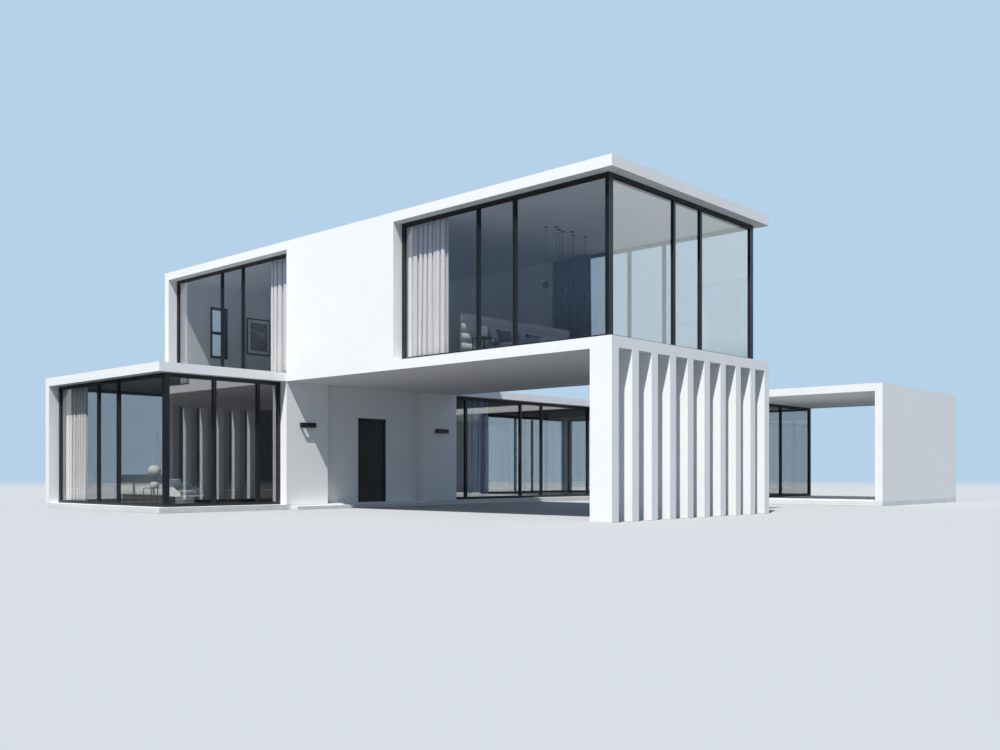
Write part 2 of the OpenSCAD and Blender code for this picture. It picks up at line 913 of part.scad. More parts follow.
module curtain_upper_front() {
    color("gainsboro")
        hanging(x_corner - curtain_tuck, y_curtain_upper, z_upper,
                z_upper_ceiling, corner_curtain);
}
module curtain_upper_back() {
    color("slategray")
        hanging(x_curtain_corner, y_curtain_upper_back, z_upper,
                z_upper_ceiling);
}
module curtain_upper_west() {
    color("gainsboro")
        hanging(x_curtain_upper_west, y_curtain_upper, z_upper,
                z_upper_ceiling);
}
module curtain_front_room() {
    color("gainsboro")
        hanging(x_curtain_west, y_curtain_front, z_floor, z_ceiling);
}
module curtain_court() {
    color("lightsteelblue")
        hanging(x_curtain_court, y_curtain_court, z_floor, z_ceiling,
                curtain_depth, curtain_width);
}
module curtain_tracks() {
    half = curtain_depth / 2;
    color("white") {
        track(x_corner - curtain_tuck, y_curtain_upper + half,
              z_upper_ceiling, corner_curtain);
        track(x_curtain_corner, y_curtain_upper_back + half, z_upper_ceiling);
        track(x_curtain_upper_west, y_curtain_upper + half, z_upper_ceiling);
        track(x_curtain_west, y_curtain_front + half, z_ceiling);
        track(x_curtain_court + half, y_curtain_court, z_ceiling, turn = 90);
    }
}

// Bedroom

module bed_headboard() {
    half = headboard_length / 2;
    color("tan")
        block([x_bed - headboard_depth, y_headboard - half, z_upper],
              [x_bed, y_headboard + half, z_upper + headboard_height]);
}

// A platform on a plinth that stands back under it
module bed_base() {
    plinth = 100;
    half = bed_width / 2;
    end = x_bed + bed_length;
    inset = 150;
    color("saddlebrown") {
        block([x_bed + seat, y_bed - half - bed_edge, z_upper + plinth],
              [end + bed_edge, y_bed + half + bed_edge,
               z_upper + bed_base_height]);
        block([x_bed + inset, y_bed - half + inset, z_upper],
              [end - inset, y_bed + half - inset, z_upper + plinth + past]);
    }
}

module bed_mattress() {
    half = bed_width / 2;
    color("lavender")
        block([x_bed + seat, y_bed - half, z_mattress],
              [x_bed + bed_length, y_bed + half, z_linen - seat]);
}

// Two pillows lean on the headboard, each with a smaller cushion against it
module bed_pillows() {
    pillow = [180, 700, 440];
    cushion = [140, 500, 380];
    lean = 18;
    step = pillow.x + seat;
    apart = 0.6 * bed_width;
    color("lightsteelblue") for (side = [-1, 1])
        translate([x_bed + seat + pillow.z * sin(lean),
                   y_bed + side * apart / 2, z_linen])
            rotate([0, -lean, 0]) {
                translate([0, -pillow.y / 2, 0]) cube(pillow);
                translate([step, -cushion.y / 2, -step * tan(lean)])
                    cube(cushion);
            }
}

// A square top on four thin legs, held together by a ring on the floor
module side_table(x, y, z, height) {
    top = 15;
    leg = 20;
    far = table_width - leg;
    translate([x - table_width / 2, y - table_width / 2, z]) {
        translate([0, 0, height - top]) cube([table_width, table_width, top]);
        for (dx = [0, far], dy = [0, far])
            translate([dx, dy, 0]) cube([leg, leg, height - top / 2]);
        difference() {
            cube([table_width, table_width, leg]);
            translate([leg, leg, -past])
                cube([far - leg, far - leg, leg + 2 * past]);
        }
    }
}

module side_tables() {
    beside = bed_width / 2 + bed_edge + bedside_gap + table_width / 2;
    color("#202124") {
        for (side = [-1, 1])
            side_table(x_bed + 2 * bed_edge + table_width / 2,
                       y_bed + side * beside, z_upper, bedside_height);
        side_table(x_glass_inner + lamp_table_place.x,
                   y_glass_front + lamp_table_place.y, z_floor,
                   lamp_table_height);
    }
}

// Living room

// A glass globe on a short neck over a domed foot
module table_lamp() {
    foot_r = 130;
    foot_wall = 60;
    neck_r = 35;
    neck_end = 320;
    globe_drop = 25;
    color("white")
        translate([x_glass_inner + lamp_table_place.x,
                   y_glass_front + lamp_table_place.y,
                   z_floor + lamp_table_height + seat]) {
            difference() {
                translate([0, 0, foot_wall]) sphere(r = foot_r);
                translate([0, 0, -foot_r]) cylinder(r = foot_r, h = foot_r);
            }
            cylinder(r = neck_r, h = neck_end);
            translate([0, 0, neck_end - globe_drop + lamp_d / 2])
                sphere(d = lamp_d);
        }
}

module sofa_base() {
    inset = 60;
    leg_r = 20;
    rail_low = z_floor + sofa_leg;
    color("saddlebrown") {
        block([x_sofa + inset, y_sofa + inset, rail_low],
              [x_sofa_end - inset, y_sofa + sofa_depth - inset,
               rail_low + sofa_rail]);
        for (x = [x_sofa, x_sofa_end - 4 * inset],
             y = [y_sofa, y_sofa + sofa_depth - 4 * inset])
            translate([x + 2 * inset, y + 2 * inset, z_floor])
                cylinder(r = leg_r, h = sofa_leg + past);
    }
}

// Back, two arms and three seat cushions
module sofa_cushions() {
    seats = 3;
    arm_height = 600;
    y_arm = y_sofa + sofa_side + seat;
    y_end = y_sofa + sofa_depth;
    x_first = x_sofa + sofa_side + seat;
    wide = (sofa_length - 2 * sofa_side - (seats + 1) * seat) / seats;
    color("linen") {
        block([x_sofa, y_sofa, z_sofa],
              [x_sofa_end, y_sofa + sofa_side, z_floor + sofa_height]);
        for (x = [x_sofa, x_sofa_end - sofa_side])
            block([x, y_arm, z_sofa],
                  [x + sofa_side, y_end, z_floor + arm_height]);
        for (i = [0 : seats - 1])
            block([x_first + i * (wide + seat), y_arm, z_sofa],
                  [x_first + i * (wide + seat) + wide, y_end,
                   z_floor + sofa_seat]);
    }
}

// Places the lounge chair, which looks along +X, on its middle
module at_chair() {
    translate([x_glass_inner + chair_place.x, y_glass_front + chair_place.y,
               z_floor])
        children();
}

// A shell with a raised back and arms that slope down, on a recessed foot
module lounge_chair() {
    back = 240;
    foot = 90;
    arm_slope = atan((chair_arm - chair_seat - chair_shell) * 2 / chair_depth);
    low = [-chair_depth / 2, -chair_width / 2, chair_seat - chair_shell];
    inner = chair_width - 2 * chair_shell;
    color("ivory") at_chair() {
        difference() {
            translate(low)
                cube([chair_depth, chair_width, chair_arm - low.z]);
            translate([low.x + chair_shell, -inner / 2, chair_seat])
                cube([chair_depth, inner, chair_arm]);
            translate([0, -chair_width / 2 - past, chair_arm])
                rotate([0, arm_slope, 0])
                    cube([chair_depth, chair_width + 2 * past, chair_arm]);
        }
        translate([low.x, -inner / 2, chair_seat])
            cube([chair_shell, inner, chair_arm + back - chair_seat]);
        translate([low.x / 2, -chair_width / 4, 0])
            cube([chair_depth / 2, chair_width / 2, low.z + chair_shell / 2]);
        translate([low.x / 2 - foot, -chair_width / 4 - foot, 0])
            cube([chair_depth / 2 + 2 * foot, chair_width / 2 + 2 * foot,
                  chair_shell]);
    }
}

// A seat cushion, and a back cushion that stands on it
module lounge_cushions() {
    gap = 5;
    pad = 150;
    back_pad = [140, chair_width - 2 * chair_shell - 2 * gap, 330];
    start = -chair_depth / 2 + chair_shell + seat;
    color("slategray") at_chair() translate([start, -back_pad.y / 2, 0]) {
        translate([0, 0, chair_seat + seat])
            cube([chair_depth - chair_shell - gap, back_pad.y, pad]);
        translate([0, 0, chair_seat + pad + 2 * seat]) cube(back_pad);
    }
}

module poufs() {
    color("sienna") for (p = pouf_places)
        translate([x_glass_inner + p.x, y_glass_front + p.y, z_floor])
            cylinder(d = pouf_d, h = pouf_height);
}

west_plinth();
far_plinth();
entry_step();
upper_floor();
upper_roof();
front_roof();
court_roof();
far_roof();
west_piers();
west_wall();
entry_pier_front();
entry_pier_back();
entry_wall_left();
entry_wall_right();
entry_wall_over();
far_end_wall();
fins();
upper_front_wall();
upper_back_wall();
upper_end_wall();
front_room_frame();
front_room_side_frame();
west_frames();
court_frame();
far_room_frames();
terrace_frame();
upper_corner_frames();
upper_side_frame();
upper_west_frames();
west_bar_glass();
far_room_glass();
upper_corner_glass();
upper_west_glass();
door_frame();
door_leaf();
door_handle();
wall_lights();
pendant_rods();
pendant_globes();
picture();
curtain_upper_front();
curtain_upper_back();
curtain_upper_west();
curtain_front_room();
curtain_court();
curtain_tracks();
bed_headboard();
bed_base();
bed_mattress();
bed_pillows();
side_tables();
table_lamp();
sofa_base();
sofa_cushions();
lounge_chair();
lounge_cushions();
poufs();
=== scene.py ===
# %% [markdown]
# # A white house of three long bars
#
# The construction is finished before this lesson starts: walls, slabs, fins, window frames, glass and the
# entry door come in as a fixed frame, at their real size and place. Here the house gets its looks: render
# with a trowelled skin, powder-coated frames, glass that mirrors the sky, gathered curtains, roofing, and
# the small parts round the glass.
#
# The first step loads the frame and keeps the size of the bare construction, because nothing that is added
# may make the house bigger.

# %% Load the construction
import json
import math
import random

import bmesh
import bpy
from mathutils import Matrix, Vector


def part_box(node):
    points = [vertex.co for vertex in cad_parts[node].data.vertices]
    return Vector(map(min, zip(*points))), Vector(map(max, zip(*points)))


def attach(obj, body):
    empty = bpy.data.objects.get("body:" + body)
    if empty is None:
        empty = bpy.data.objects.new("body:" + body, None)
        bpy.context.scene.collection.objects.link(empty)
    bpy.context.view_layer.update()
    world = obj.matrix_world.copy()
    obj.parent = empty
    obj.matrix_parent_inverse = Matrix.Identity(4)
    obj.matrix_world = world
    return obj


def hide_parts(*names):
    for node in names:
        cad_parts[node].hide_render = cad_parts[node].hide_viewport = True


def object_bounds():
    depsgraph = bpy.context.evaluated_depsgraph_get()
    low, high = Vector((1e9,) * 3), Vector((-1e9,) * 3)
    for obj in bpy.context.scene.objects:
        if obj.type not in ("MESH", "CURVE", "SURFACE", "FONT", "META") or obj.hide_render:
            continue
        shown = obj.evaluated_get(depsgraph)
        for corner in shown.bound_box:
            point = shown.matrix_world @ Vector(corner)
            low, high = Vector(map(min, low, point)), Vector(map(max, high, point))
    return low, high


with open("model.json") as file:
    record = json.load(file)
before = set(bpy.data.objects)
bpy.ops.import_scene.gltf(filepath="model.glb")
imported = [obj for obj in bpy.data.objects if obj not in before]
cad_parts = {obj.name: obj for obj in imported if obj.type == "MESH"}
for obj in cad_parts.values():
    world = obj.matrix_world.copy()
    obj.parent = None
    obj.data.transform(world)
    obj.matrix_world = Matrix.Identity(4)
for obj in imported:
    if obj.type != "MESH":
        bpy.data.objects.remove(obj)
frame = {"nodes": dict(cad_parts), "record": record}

construction_box = [list(corner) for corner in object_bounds()]
nodes = frame["nodes"]
HOUSE = "house"
DOOR = "entry_door"


def box_of(name):
    """The lowest and highest corner of a node."""
    return [Vector(corner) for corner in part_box(name)]


def face_of(name, side, axis):
    """Where a node's box begins (side 0) or ends (side 1) along an axis."""
    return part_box(name)[side]["xyz".index(axis)]


print(len(nodes), "nodes, from", construction_box[0], "to", construction_box[1])

# %% [markdown]
# ## Camera
#
# The picture was taken from a height of about one metre, off the corner of the fin screen. Upright edges
# stay upright in it, so the camera is level and its lens is shifted upwards, as an architect's camera is. A
# tilted camera would make the walls lean.

# %% Place the camera
EYE = Vector((21.859, -26.075, 1.03))
EYE_TURN = math.radians(42.581)
LEVEL = math.radians(90)
LENS_MM = 35.714
LENS_RISE = 0.0993
FILM_MM = 36
SIGHT = 1000

camera = bpy.data.objects.new("camera", bpy.data.cameras.new("camera"))
camera.location = EYE
camera.rotation_euler = (LEVEL, 0, EYE_TURN)
camera.data.lens = LENS_MM
camera.data.sensor_width = FILM_MM
camera.data.shift_y = LENS_RISE
camera.data.clip_end = SIGHT
bpy.context.collection.objects.link(camera)
bpy.context.scene.camera = camera
bpy.context.scene.view_settings.view_transform = "Standard"
print("camera", round(construction_box[0][1] - EYE.y, 1), "m in front of the house")

# %% [markdown]
# ## Light
#
# One large soft lamp stands where the sun does in the picture, high in front and a little to the right: it
# whitens the long fronts, grazes the end walls and throws the slanting shadows between the fins. A cool,
# even sky fills the shadows. What the camera and the glass see behind the house is a plain pale backdrop of
# its own, so the backdrop can be as light as wanted without adding light to the walls.

# %% Light the house
TO_LAMP = Vector((0.207, -0.489, 0.847))
LAMP_STRENGTH = 5.50
LAMP_SOFTNESS = math.radians(1.2)
LAMP_COLOUR = (1.0, 0.98, 0.93)

lamp = bpy.data.objects.new("key_lamp", bpy.data.lights.new("key_lamp", "SUN"))
lamp.data.energy = LAMP_STRENGTH
lamp.data.angle = LAMP_SOFTNESS
lamp.data.color = LAMP_COLOUR
lamp.rotation_euler = TO_LAMP.to_track_quat("Z", "Y").to_euler()
bpy.context.collection.objects.link(lamp)
print("lamp", round(math.degrees(math.asin(TO_LAMP.normalized().z))), "degrees high")

# %% [markdown]
# Shader nodes are wired the same way again and again: make a node, fill its sockets, join it to the next. A
# few short helpers do that, so that each material below reads as a recipe. `wire` takes outputs and inputs
# in pairs, and a plain value in the place of an output just fills the input. A Mix node has sockets for
# values and for colours side by side, so their numbers are kept in one place.

# %% Helpers for shader nodes
MIX_SOCKETS = {"FLOAT": (2, 3, 0), "RGBA": (6, 7, 2)}


def add(tree, kind, **values):
    """A new shader node. Keywords fill its settings, or else its sockets, with _ for a space."""
    made = tree.nodes.new("ShaderNode" + kind)
    for word, value in values.items():
        if hasattr(made, word):
            setattr(made, word, value)
        else:
            made.inputs[word.replace("_", " ")].default_value = value
    return made


def wire(tree, *ends):
    """Joins outputs to inputs, two by two. A plain value fills its input instead."""
    for source, target in zip(ends[::2], ends[1::2]):
        if isinstance(source, bpy.types.NodeSocket):
            tree.links.new(source, target)
        else:
            target.default_value = source


def combine(tree, operation, first, second):
    """One value from two, by the named operation."""
    made = add(tree, "Math", operation=operation)
    wire(tree, first, made.inputs[0], second, made.inputs[1])
    return made.outputs[0]


def soft_step(tree, value, start, stop):
    """Rises softly from 0 to 1 while a value goes from start to stop."""
    made = add(tree, "MapRange", interpolation_type="SMOOTHSTEP", From_Min=start, From_Max=stop)
    wire(tree, value, made.inputs["Value"])
    return made.outputs[0]


def blend(tree, share, first, second, kind="RGBA"):
    """Goes from the first colour, or value, to the second as share goes from 0 to 1."""
    made = add(tree, "Mix", data_type=kind)
    first_in, second_in, result = MIX_SOCKETS[kind]
    wire(tree, share, made.inputs[0], first, made.inputs[first_in], second, made.inputs[second_in])
    return made.outputs[result]


def blend_shaders(tree, share, first, second):
    """Goes from the first shader to the second as share goes from 0 to 1."""
    made = add(tree, "MixShader")
    wire(tree, share, made.inputs[0], first, made.inputs[1], second, made.inputs[2])
    return made.outputs[0]


def noise(tree, place, scale, detail, roughness=0.5, distortion=0.0):
    """The value of a noise texture at a place."""
    made = add(tree, "TexNoise", Detail=detail, Roughness=roughness, Distortion=distortion)
    wire(tree, place, made.inputs["Vector"], scale, made.inputs["Scale"])
    return made.outputs[0]


def seen_directly(tree):
    """1 for what the camera sees, in mirrors and through glass too, and 0 for light that falls on things."""
    path = add(tree, "LightPath")
    in_mirrors = combine(tree, "MAXIMUM", path.outputs["Is Camera Ray"], path.outputs["Is Glossy Ray"])
    return combine(tree, "MAXIMUM", in_mirrors, path.outputs["Is Transmission Ray"])


print("mixes for", " and ".join(MIX_SOCKETS))

# %% [markdown]
# In the picture the long fronts mirror something dark in front of the house, with deep blue sky over it, and
# the end glazing mirrors bright sky over a dark horizon. A studio does the same with a dark wall, high on
# the near side of the room and low on its right, and with a bright sheet over the low part. Only mirror rays
# see these, so the backdrop stays pale from every side. Each pair of numbers below says where a field starts
# and where it is full, measured on a direction of length 1.

# %% Sky that lights, and a backdrop that shows
SKY_FILL = (0.65, 0.90, 1.27, 1)
SKY_FILL_STRENGTH = 0.39
BACKDROP = (0.465, 0.645, 0.82, 1)
MIRRORED_LOW = (0.028, 0.034, 0.044, 1)
MIRRORED_HIGH = (0.078, 0.125, 0.205, 1)
MIRRORED_RIGHT = (0.76, 0.88, 0.93, 1)
TO_FAR_SIDE = (0.35, 0.94, 0)
NEAR_FIELD = (-0.2, -0.62)
HIGH_FIELD = (0.10, 0.19)
LOW_FIELD = (0.135, 0.085)
RIGHT_FIELD = (-0.05, 0.25)

world = bpy.data.worlds.new("pale_sky")
world.use_nodes = True
bpy.context.scene.world = world
sky = world.node_tree
sky.nodes.clear()

sky_way = add(sky, "TexCoord").outputs["Generated"]
in_mirrors_only = add(sky, "LightPath").outputs["Is Glossy Ray"]
sky_side = add(sky, "VectorMath", operation="DOT_PRODUCT")
sky_parts = add(sky, "SeparateXYZ")
wire(sky, sky_way, sky_side.inputs[0], TO_FAR_SIDE, sky_side.inputs[1], sky_way, sky_parts.inputs[0])
near_side = soft_step(sky, sky_side.outputs["Value"], *NEAR_FIELD)
high_up = soft_step(sky, sky_parts.outputs["Z"], *HIGH_FIELD)
low_down = soft_step(sky, sky_parts.outputs["Z"], *LOW_FIELD)
on_right = soft_step(sky, sky_parts.outputs["X"], *RIGHT_FIELD)

low_right = combine(sky, "MULTIPLY", low_down, on_right)
dark_field = combine(sky, "MULTIPLY", combine(sky, "MAXIMUM", near_side, low_right), in_mirrors_only)
bright_field = combine(sky, "MULTIPLY", on_right, in_mirrors_only)
dark_tone = blend(sky, high_up, MIRRORED_LOW, MIRRORED_HIGH)
clear_tone = blend(sky, bright_field, BACKDROP, MIRRORED_RIGHT)

sky_light = add(sky, "Background", Color=SKY_FILL, Strength=SKY_FILL_STRENGTH)
sky_seen = add(sky, "Background", Strength=1)
wire(sky, blend(sky, dark_field, clear_tone, dark_tone), sky_seen.inputs["Color"])
sky_mix = blend_shaders(sky, seen_directly(sky), sky_light.outputs[0], sky_seen.outputs[0])
wire(sky, sky_mix, add(sky, "OutputWorld").inputs[0])
print("lamp", LAMP_STRENGTH, "and sky", SKY_FILL_STRENGTH)

# %% [markdown]
# The floor is one very large pale sheet. It keeps the shadow of the house, and far out it melts into the
# backdrop, so that no hard horizon cuts through the picture. Light that bounces up from it is kept darker
# than it looks, or the undersides of the slabs would glow, and so is its mirror image in the fronts, which
# would veil the rooms behind. Beside the long low wing the bounce is darker still, as the ceiling of the
# front room in the picture shows.

# %% Lay the floor
FLOOR_HALF = 400
FLOOR_DROP = 0.004
FLOOR_TONE = (0.40, 0.41, 0.42, 1)
FLOOR_BOUNCE = (0.19, 0.19, 0.19, 1)
WING_BOUNCE = (0.045, 0.05, 0.04, 1)
FLOOR_MIRRORED = (0.07, 0.072, 0.07, 1)
EDGE_INSIDE = 0.05
EDGE_BLUR = 0.5
FADE_FROM, FADE_TO = 30, 150
IN_PLAN = (1, 1, 0)
front_edge = face_of("west_plinth", 0, "y") + EDGE_INSIDE
wing_edge = face_of("west_plinth", 1, "x") - EDGE_INSIDE


def floor_material():
    """A matt sheet with one tone for the camera, one for mirrors and two for the light that it sends up."""
    made = bpy.data.materials.new("studio_floor")
    made.use_nodes = True
    tree = made.node_tree
    tree.nodes.clear()
    place = add(tree, "TexCoord").outputs["Object"]
    flat = add(tree, "VectorMath", operation="MULTIPLY")
    reach = add(tree, "VectorMath", operation="LENGTH")
    sides = add(tree, "SeparateXYZ")
    wire(tree, place, flat.inputs[0], IN_PLAN, flat.inputs[1], flat.outputs[0], reach.inputs[0],
         place, sides.inputs[0])
    fade = soft_step(tree, reach.outputs["Value"], FADE_FROM, FADE_TO)
    before = soft_step(tree, sides.outputs["Y"], front_edge + EDGE_BLUR, front_edge - EDGE_BLUR)
    beside = soft_step(tree, sides.outputs["X"], wing_edge - EDGE_BLUR, wing_edge + EDGE_BLUR)
    near_house = combine(tree, "MAXIMUM", before, beside)
    mirrored = combine(tree, "MULTIPLY", near_house, add(tree, "LightPath").outputs["Is Glossy Ray"])
    lit = add(tree, "BsdfDiffuse")
    bounce = add(tree, "BsdfDiffuse")
    wire(tree, blend(tree, mirrored, FLOOR_TONE, FLOOR_MIRRORED), lit.inputs["Color"],
         blend(tree, beside, WING_BOUNCE, FLOOR_BOUNCE), bounce.inputs["Color"])
    shown = blend_shaders(tree, fade, lit.outputs[0], add(tree, "BsdfTransparent").outputs[0])
    sheet = blend_shaders(tree, seen_directly(tree), bounce.outputs[0], shown)
    wire(tree, sheet, add(tree, "OutputMaterial").inputs[0])
    return made


floor_mesh = bmesh.new()
bmesh.ops.create_grid(floor_mesh, x_segments=1, y_segments=1, size=FLOOR_HALF,
                      matrix=Matrix.Translation((0, 0, -FLOOR_DROP)))
floor_data = bpy.data.meshes.new("studio_floor")
floor_mesh.to_mesh(floor_data)
floor_mesh.free()
floor_data.materials.append(floor_material())
floor = bpy.data.objects.new("studio_floor", floor_data)
bpy.context.collection.objects.link(floor)
print("floor", 2 * FLOOR_HALF, "m wide")

# %% [markdown]
# ## Finishes shared by several materials
#
# Real surfaces are never one colour. Two effects come back all over this house, so each is a node group with
# named inputs, built once. `cloudy_tone` varies a colour in soft clouds, as paint and plaster do.
# `fine_skin` gives a height for the bump: a fine grain on top of a slow waviness. Groups give out colours
# and heights only, and the shaders stay in each material.

# %% Node group: a colour that varies in soft clouds
CLOSER = 7.3
CLOSE_SHARE = 0.4
CLOUD_SPREAD = 0.14


def new_group(name, takes, gives):
    """An empty node group with sockets of the given kinds, and its two end nodes."""
    tree = bpy.data.node_groups.new(name, "ShaderNodeTree")
    for word, kind in takes.items():
        tree.interface.new_socket(word, in_out="INPUT", socket_type="NodeSocket" + kind)
    for word, kind in gives.items():
        tree.interface.new_socket(word, in_out="OUTPUT", socket_type="NodeSocket" + kind)
    return tree, tree.nodes.new("NodeGroupInput"), tree.nodes.new("NodeGroupOutput")


def cloudy_tone_group():
    """Goes between two colours in wide clouds with closer ones in them."""
    takes = {"Place": "Vector", "Light": "Color", "Dark": "Color", "Scale": "Float"}
    tree, start, end = new_group("cloudy_tone", takes, {"Color": "Color"})
    place, scale = start.outputs["Place"], start.outputs["Scale"]
    wide = noise(tree, place, scale, detail=4, roughness=0.55)
    close = noise(tree, place, combine(tree, "MULTIPLY", scale, CLOSER), detail=6, roughness=0.6)
    spread = add(tree, "MapRange", From_Min=0.5 - CLOUD_SPREAD, From_Max=0.5 + CLOUD_SPREAD)
    wire(tree, blend(tree, CLOSE_SHARE, wide, close, "FLOAT"), spread.inputs["Value"])
    tone = blend(tree, spread.outputs[0], start.outputs["Dark"], start.outputs["Light"])
    wire(tree, tone, end.inputs["Color"])
    return tree


CLOUDY_TONE = cloudy_tone_group()
print(CLOUDY_TONE.name, len(CLOUDY_TONE.nodes), "nodes")


# %% Node group: a fine grain on a slow waviness
def fine_skin_group():
    """A height that goes from a fine grain to a slow wave by the given share."""
    takes = {"Place": "Vector", "Grain": "Float", "Wave": "Float", "Share": "Float"}
    tree, start, end = new_group("fine_skin", takes, {"Height": "Float"})
    grain = noise(tree, start.outputs["Place"], start.outputs["Grain"], detail=3, roughness=0.65)
    wave = noise(tree, start.outputs["Place"], start.outputs["Wave"], detail=1)
    wire(tree, blend(tree, start.outputs["Share"], grain, wave, "FLOAT"), end.inputs["Height"])
    return tree


FINE_SKIN = fine_skin_group()
print(FINE_SKIN.name, len(FINE_SKIN.nodes), "nodes")

# %% [markdown]
# ## Materials
#
# Most of the finishes on a house are a cloudy colour, a roughness and a fine skin, so one function makes
# them from those three. Each material then has its own numbers, and what is special about it is added
# afterwards. Colours are written as they would be measured on the real surface. `scale`, `grain` and `wave`
# count clouds and bumps in a metre, and `depth` is the height of the bumps in metres.

# %% A material from tone, roughness and skin
ROUGH_SWING = 0.06
ROUGH_SPREAD = 0.2
SPOTS_A_CLOUD = 3


def surface(name, light, dark, scale, rough, grain, wave, share, depth, metal=0.0):
    """A Principled material whose colour, roughness and bump all vary over the surface."""
    made = bpy.data.materials.new(name)
    made.use_nodes = True
    tree = made.node_tree
    shader = tree.nodes["Principled BSDF"]
    place = add(tree, "TexCoord").outputs["Object"]
    tone = add(tree, "Group", node_tree=CLOUDY_TONE, Light=(*light, 1), Dark=(*dark, 1), Scale=scale)
    skin = add(tree, "Group", node_tree=FINE_SKIN, Grain=grain, Wave=wave, Share=share)
    bump = add(tree, "Bump", Distance=depth, Strength=1)
    rub = add(tree, "MapRange", From_Min=0.5 - ROUGH_SPREAD, From_Max=0.5 + ROUGH_SPREAD,
              To_Min=rough - ROUGH_SWING, To_Max=rough + ROUGH_SWING)
    wire(tree, place, tone.inputs["Place"], place, skin.inputs["Place"],
         noise(tree, place, scale * SPOTS_A_CLOUD, detail=3), rub.inputs["Value"],
         skin.outputs[0], bump.inputs["Height"],
         tone.outputs[0], shader.inputs["Base Color"], rub.outputs[0], shader.inputs["Roughness"],
         bump.outputs[0], shader.inputs["Normal"], metal, shader.inputs["Metallic"])
    return made


def house_place(made):
    """The output that tells where a point is, in metres along the house's own directions."""
    return next(item for item in made.node_tree.nodes if item.type == "TEX_COORD").outputs["Object"]


def lay_bump(made, height, distance, strength=1.0):
    """Lays one more bump, from the given height, over the bump that a material has."""
    tree = made.node_tree
    normal = tree.nodes["Principled BSDF"].inputs["Normal"]
    more = add(tree, "Bump", Distance=distance, Strength=strength)
    wire(tree, height, more.inputs["Height"], normal.links[0].from_socket, more.inputs["Normal"])
    wire(tree, more.outputs[0], normal)


def darken(made, mask, share):
    """Takes a material's colour down to the given share where a mask is 1."""
    tree = made.node_tree
    colour = tree.nodes["Principled BSDF"].inputs["Base Color"]
    kept = add(tree, "MapRange", To_Min=1, To_Max=share)
    darkened = add(tree, "VectorMath", operation="SCALE")
    wire(tree, mask, kept.inputs["Value"], kept.outputs[0], darkened.inputs["Scale"],
         colour.links[0].from_socket, darkened.inputs[0])
    wire(tree, darkened.outputs[0], colour)


print("roughness swings by", ROUGH_SWING, "to either side")

# %% [markdown]
# The shell of the house has five finishes. Its render and concrete are nearly white, with a skin that only
# grazing light shows. Window frames, door and small fittings are coated in near-black tones that differ in
# gloss: what makes them read as metal or paint is the width of the shine, not the colour.

# %% Finishes of the shell
white_render = surface("white_render", light=(0.83, 0.84, 0.85), dark=(0.80, 0.81, 0.825), scale=0.45,
                       rough=0.80, grain=160, wave=1.6, share=0.45, depth=0.0012)
pale_concrete = surface("pale_concrete", light=(0.74, 0.75, 0.755), dark=(0.64, 0.65, 0.655), scale=0.9,
                        rough=0.74, grain=110, wave=3, share=0.2, depth=0.0012)
black_coat = surface("black_aluminium", light=(0.013, 0.017, 0.023), dark=(0.008, 0.0105, 0.0145), scale=2.5,
                     rough=0.34, grain=900, wave=40, share=0.25, depth=0.0002)
door_coat = surface("door_paint", light=(0.014, 0.017, 0.023), dark=(0.010, 0.012, 0.017), scale=1.8,
                    rough=0.48, grain=650, wave=6, share=0.3, depth=0.0003)
black_metal = surface("black_metal", light=(0.016, 0.017, 0.020), dark=(0.010, 0.011, 0.013), scale=5,
                      rough=0.40, grain=800, wave=30, share=0.2, depth=0.0002)
print("surfaces", [m.name for m in (white_render, pale_concrete, black_coat, door_coat, black_metal)])


# %% [markdown]
# Glass is the hard one. Each unit in the frame is one slab that stands for two panes and the gap between
# them, and four surfaces mirror more than two do, so its index of refraction is set higher than that of
# plain glass. A ray tracer also has trouble sending lamp light through a refracting slab. For shadow rays
# and for light that has already bounced off a wall, the slab is therefore plainly see-through with a faint
# tint, and the rooms behind get their light.

# %% Glass for the windows
def glass_material(name, tint, shade, index):
    """Clear glass for the camera, and a plain tint for the light that falls through it."""
    made = bpy.data.materials.new(name)
    made.use_nodes = True
    tree = made.node_tree
    shader = tree.nodes["Principled BSDF"]
    shader.inputs["Base Color"].default_value = (*tint, 1)
    shader.inputs["Roughness"].default_value = 0
    shader.inputs["IOR"].default_value = index
    shader.inputs["Transmission Weight"].default_value = 1
    clear = add(tree, "BsdfTransparent", Color=(*shade, 1))
    path = add(tree, "LightPath")
    lights_up = combine(tree, "MAXIMUM", path.outputs["Is Shadow Ray"], path.outputs["Is Diffuse Ray"])
    pane = blend_shaders(tree, lights_up, shader.outputs[0], clear.outputs[0])
    wire(tree, pane, tree.nodes["Material Output"].inputs[0])
    return made


window_glass = glass_material("window_glass", tint=(0.93, 0.93, 0.92), shade=(0.93, 0.955, 0.96), index=2.50)
smoked_glass = glass_material("smoked_glass", tint=(0.16, 0.18, 0.21), shade=(0.3, 0.32, 0.35), index=1.5)
print("glass", window_glass.name, smoked_glass.name)


# %% [markdown]
# ### Cloth, wood, leather and metal
#
# The rooms behind the glass need a few more materials. Each starts as a plain surface and gets one more
# layer of bump that makes it what it is: crossed threads on cloth, small cells on leather, joints between
# floor tiles. Wood keeps its colour clouds but stretches them along the grain.
#
# A curtain carries a flat measure of its own, so its threads follow the folds. Upholstery has none, and its
# threads run along the three directions of the house instead. A curtain also carries a mask of its hollows
# for painted shade. Real folds are deeper than the wave that is drawn later and hardly any light gets down
# between them, so the cloth is painted darker there.

# %% Woven cloth
CURTAIN_HOLLOW_SHADE = 0.6
THREAD_UNEVEN = 1.5
THREAD_DEPTH, THREAD_STRENGTH = 0.0004, 0.7
SHEEN_ROUGH = 0.6


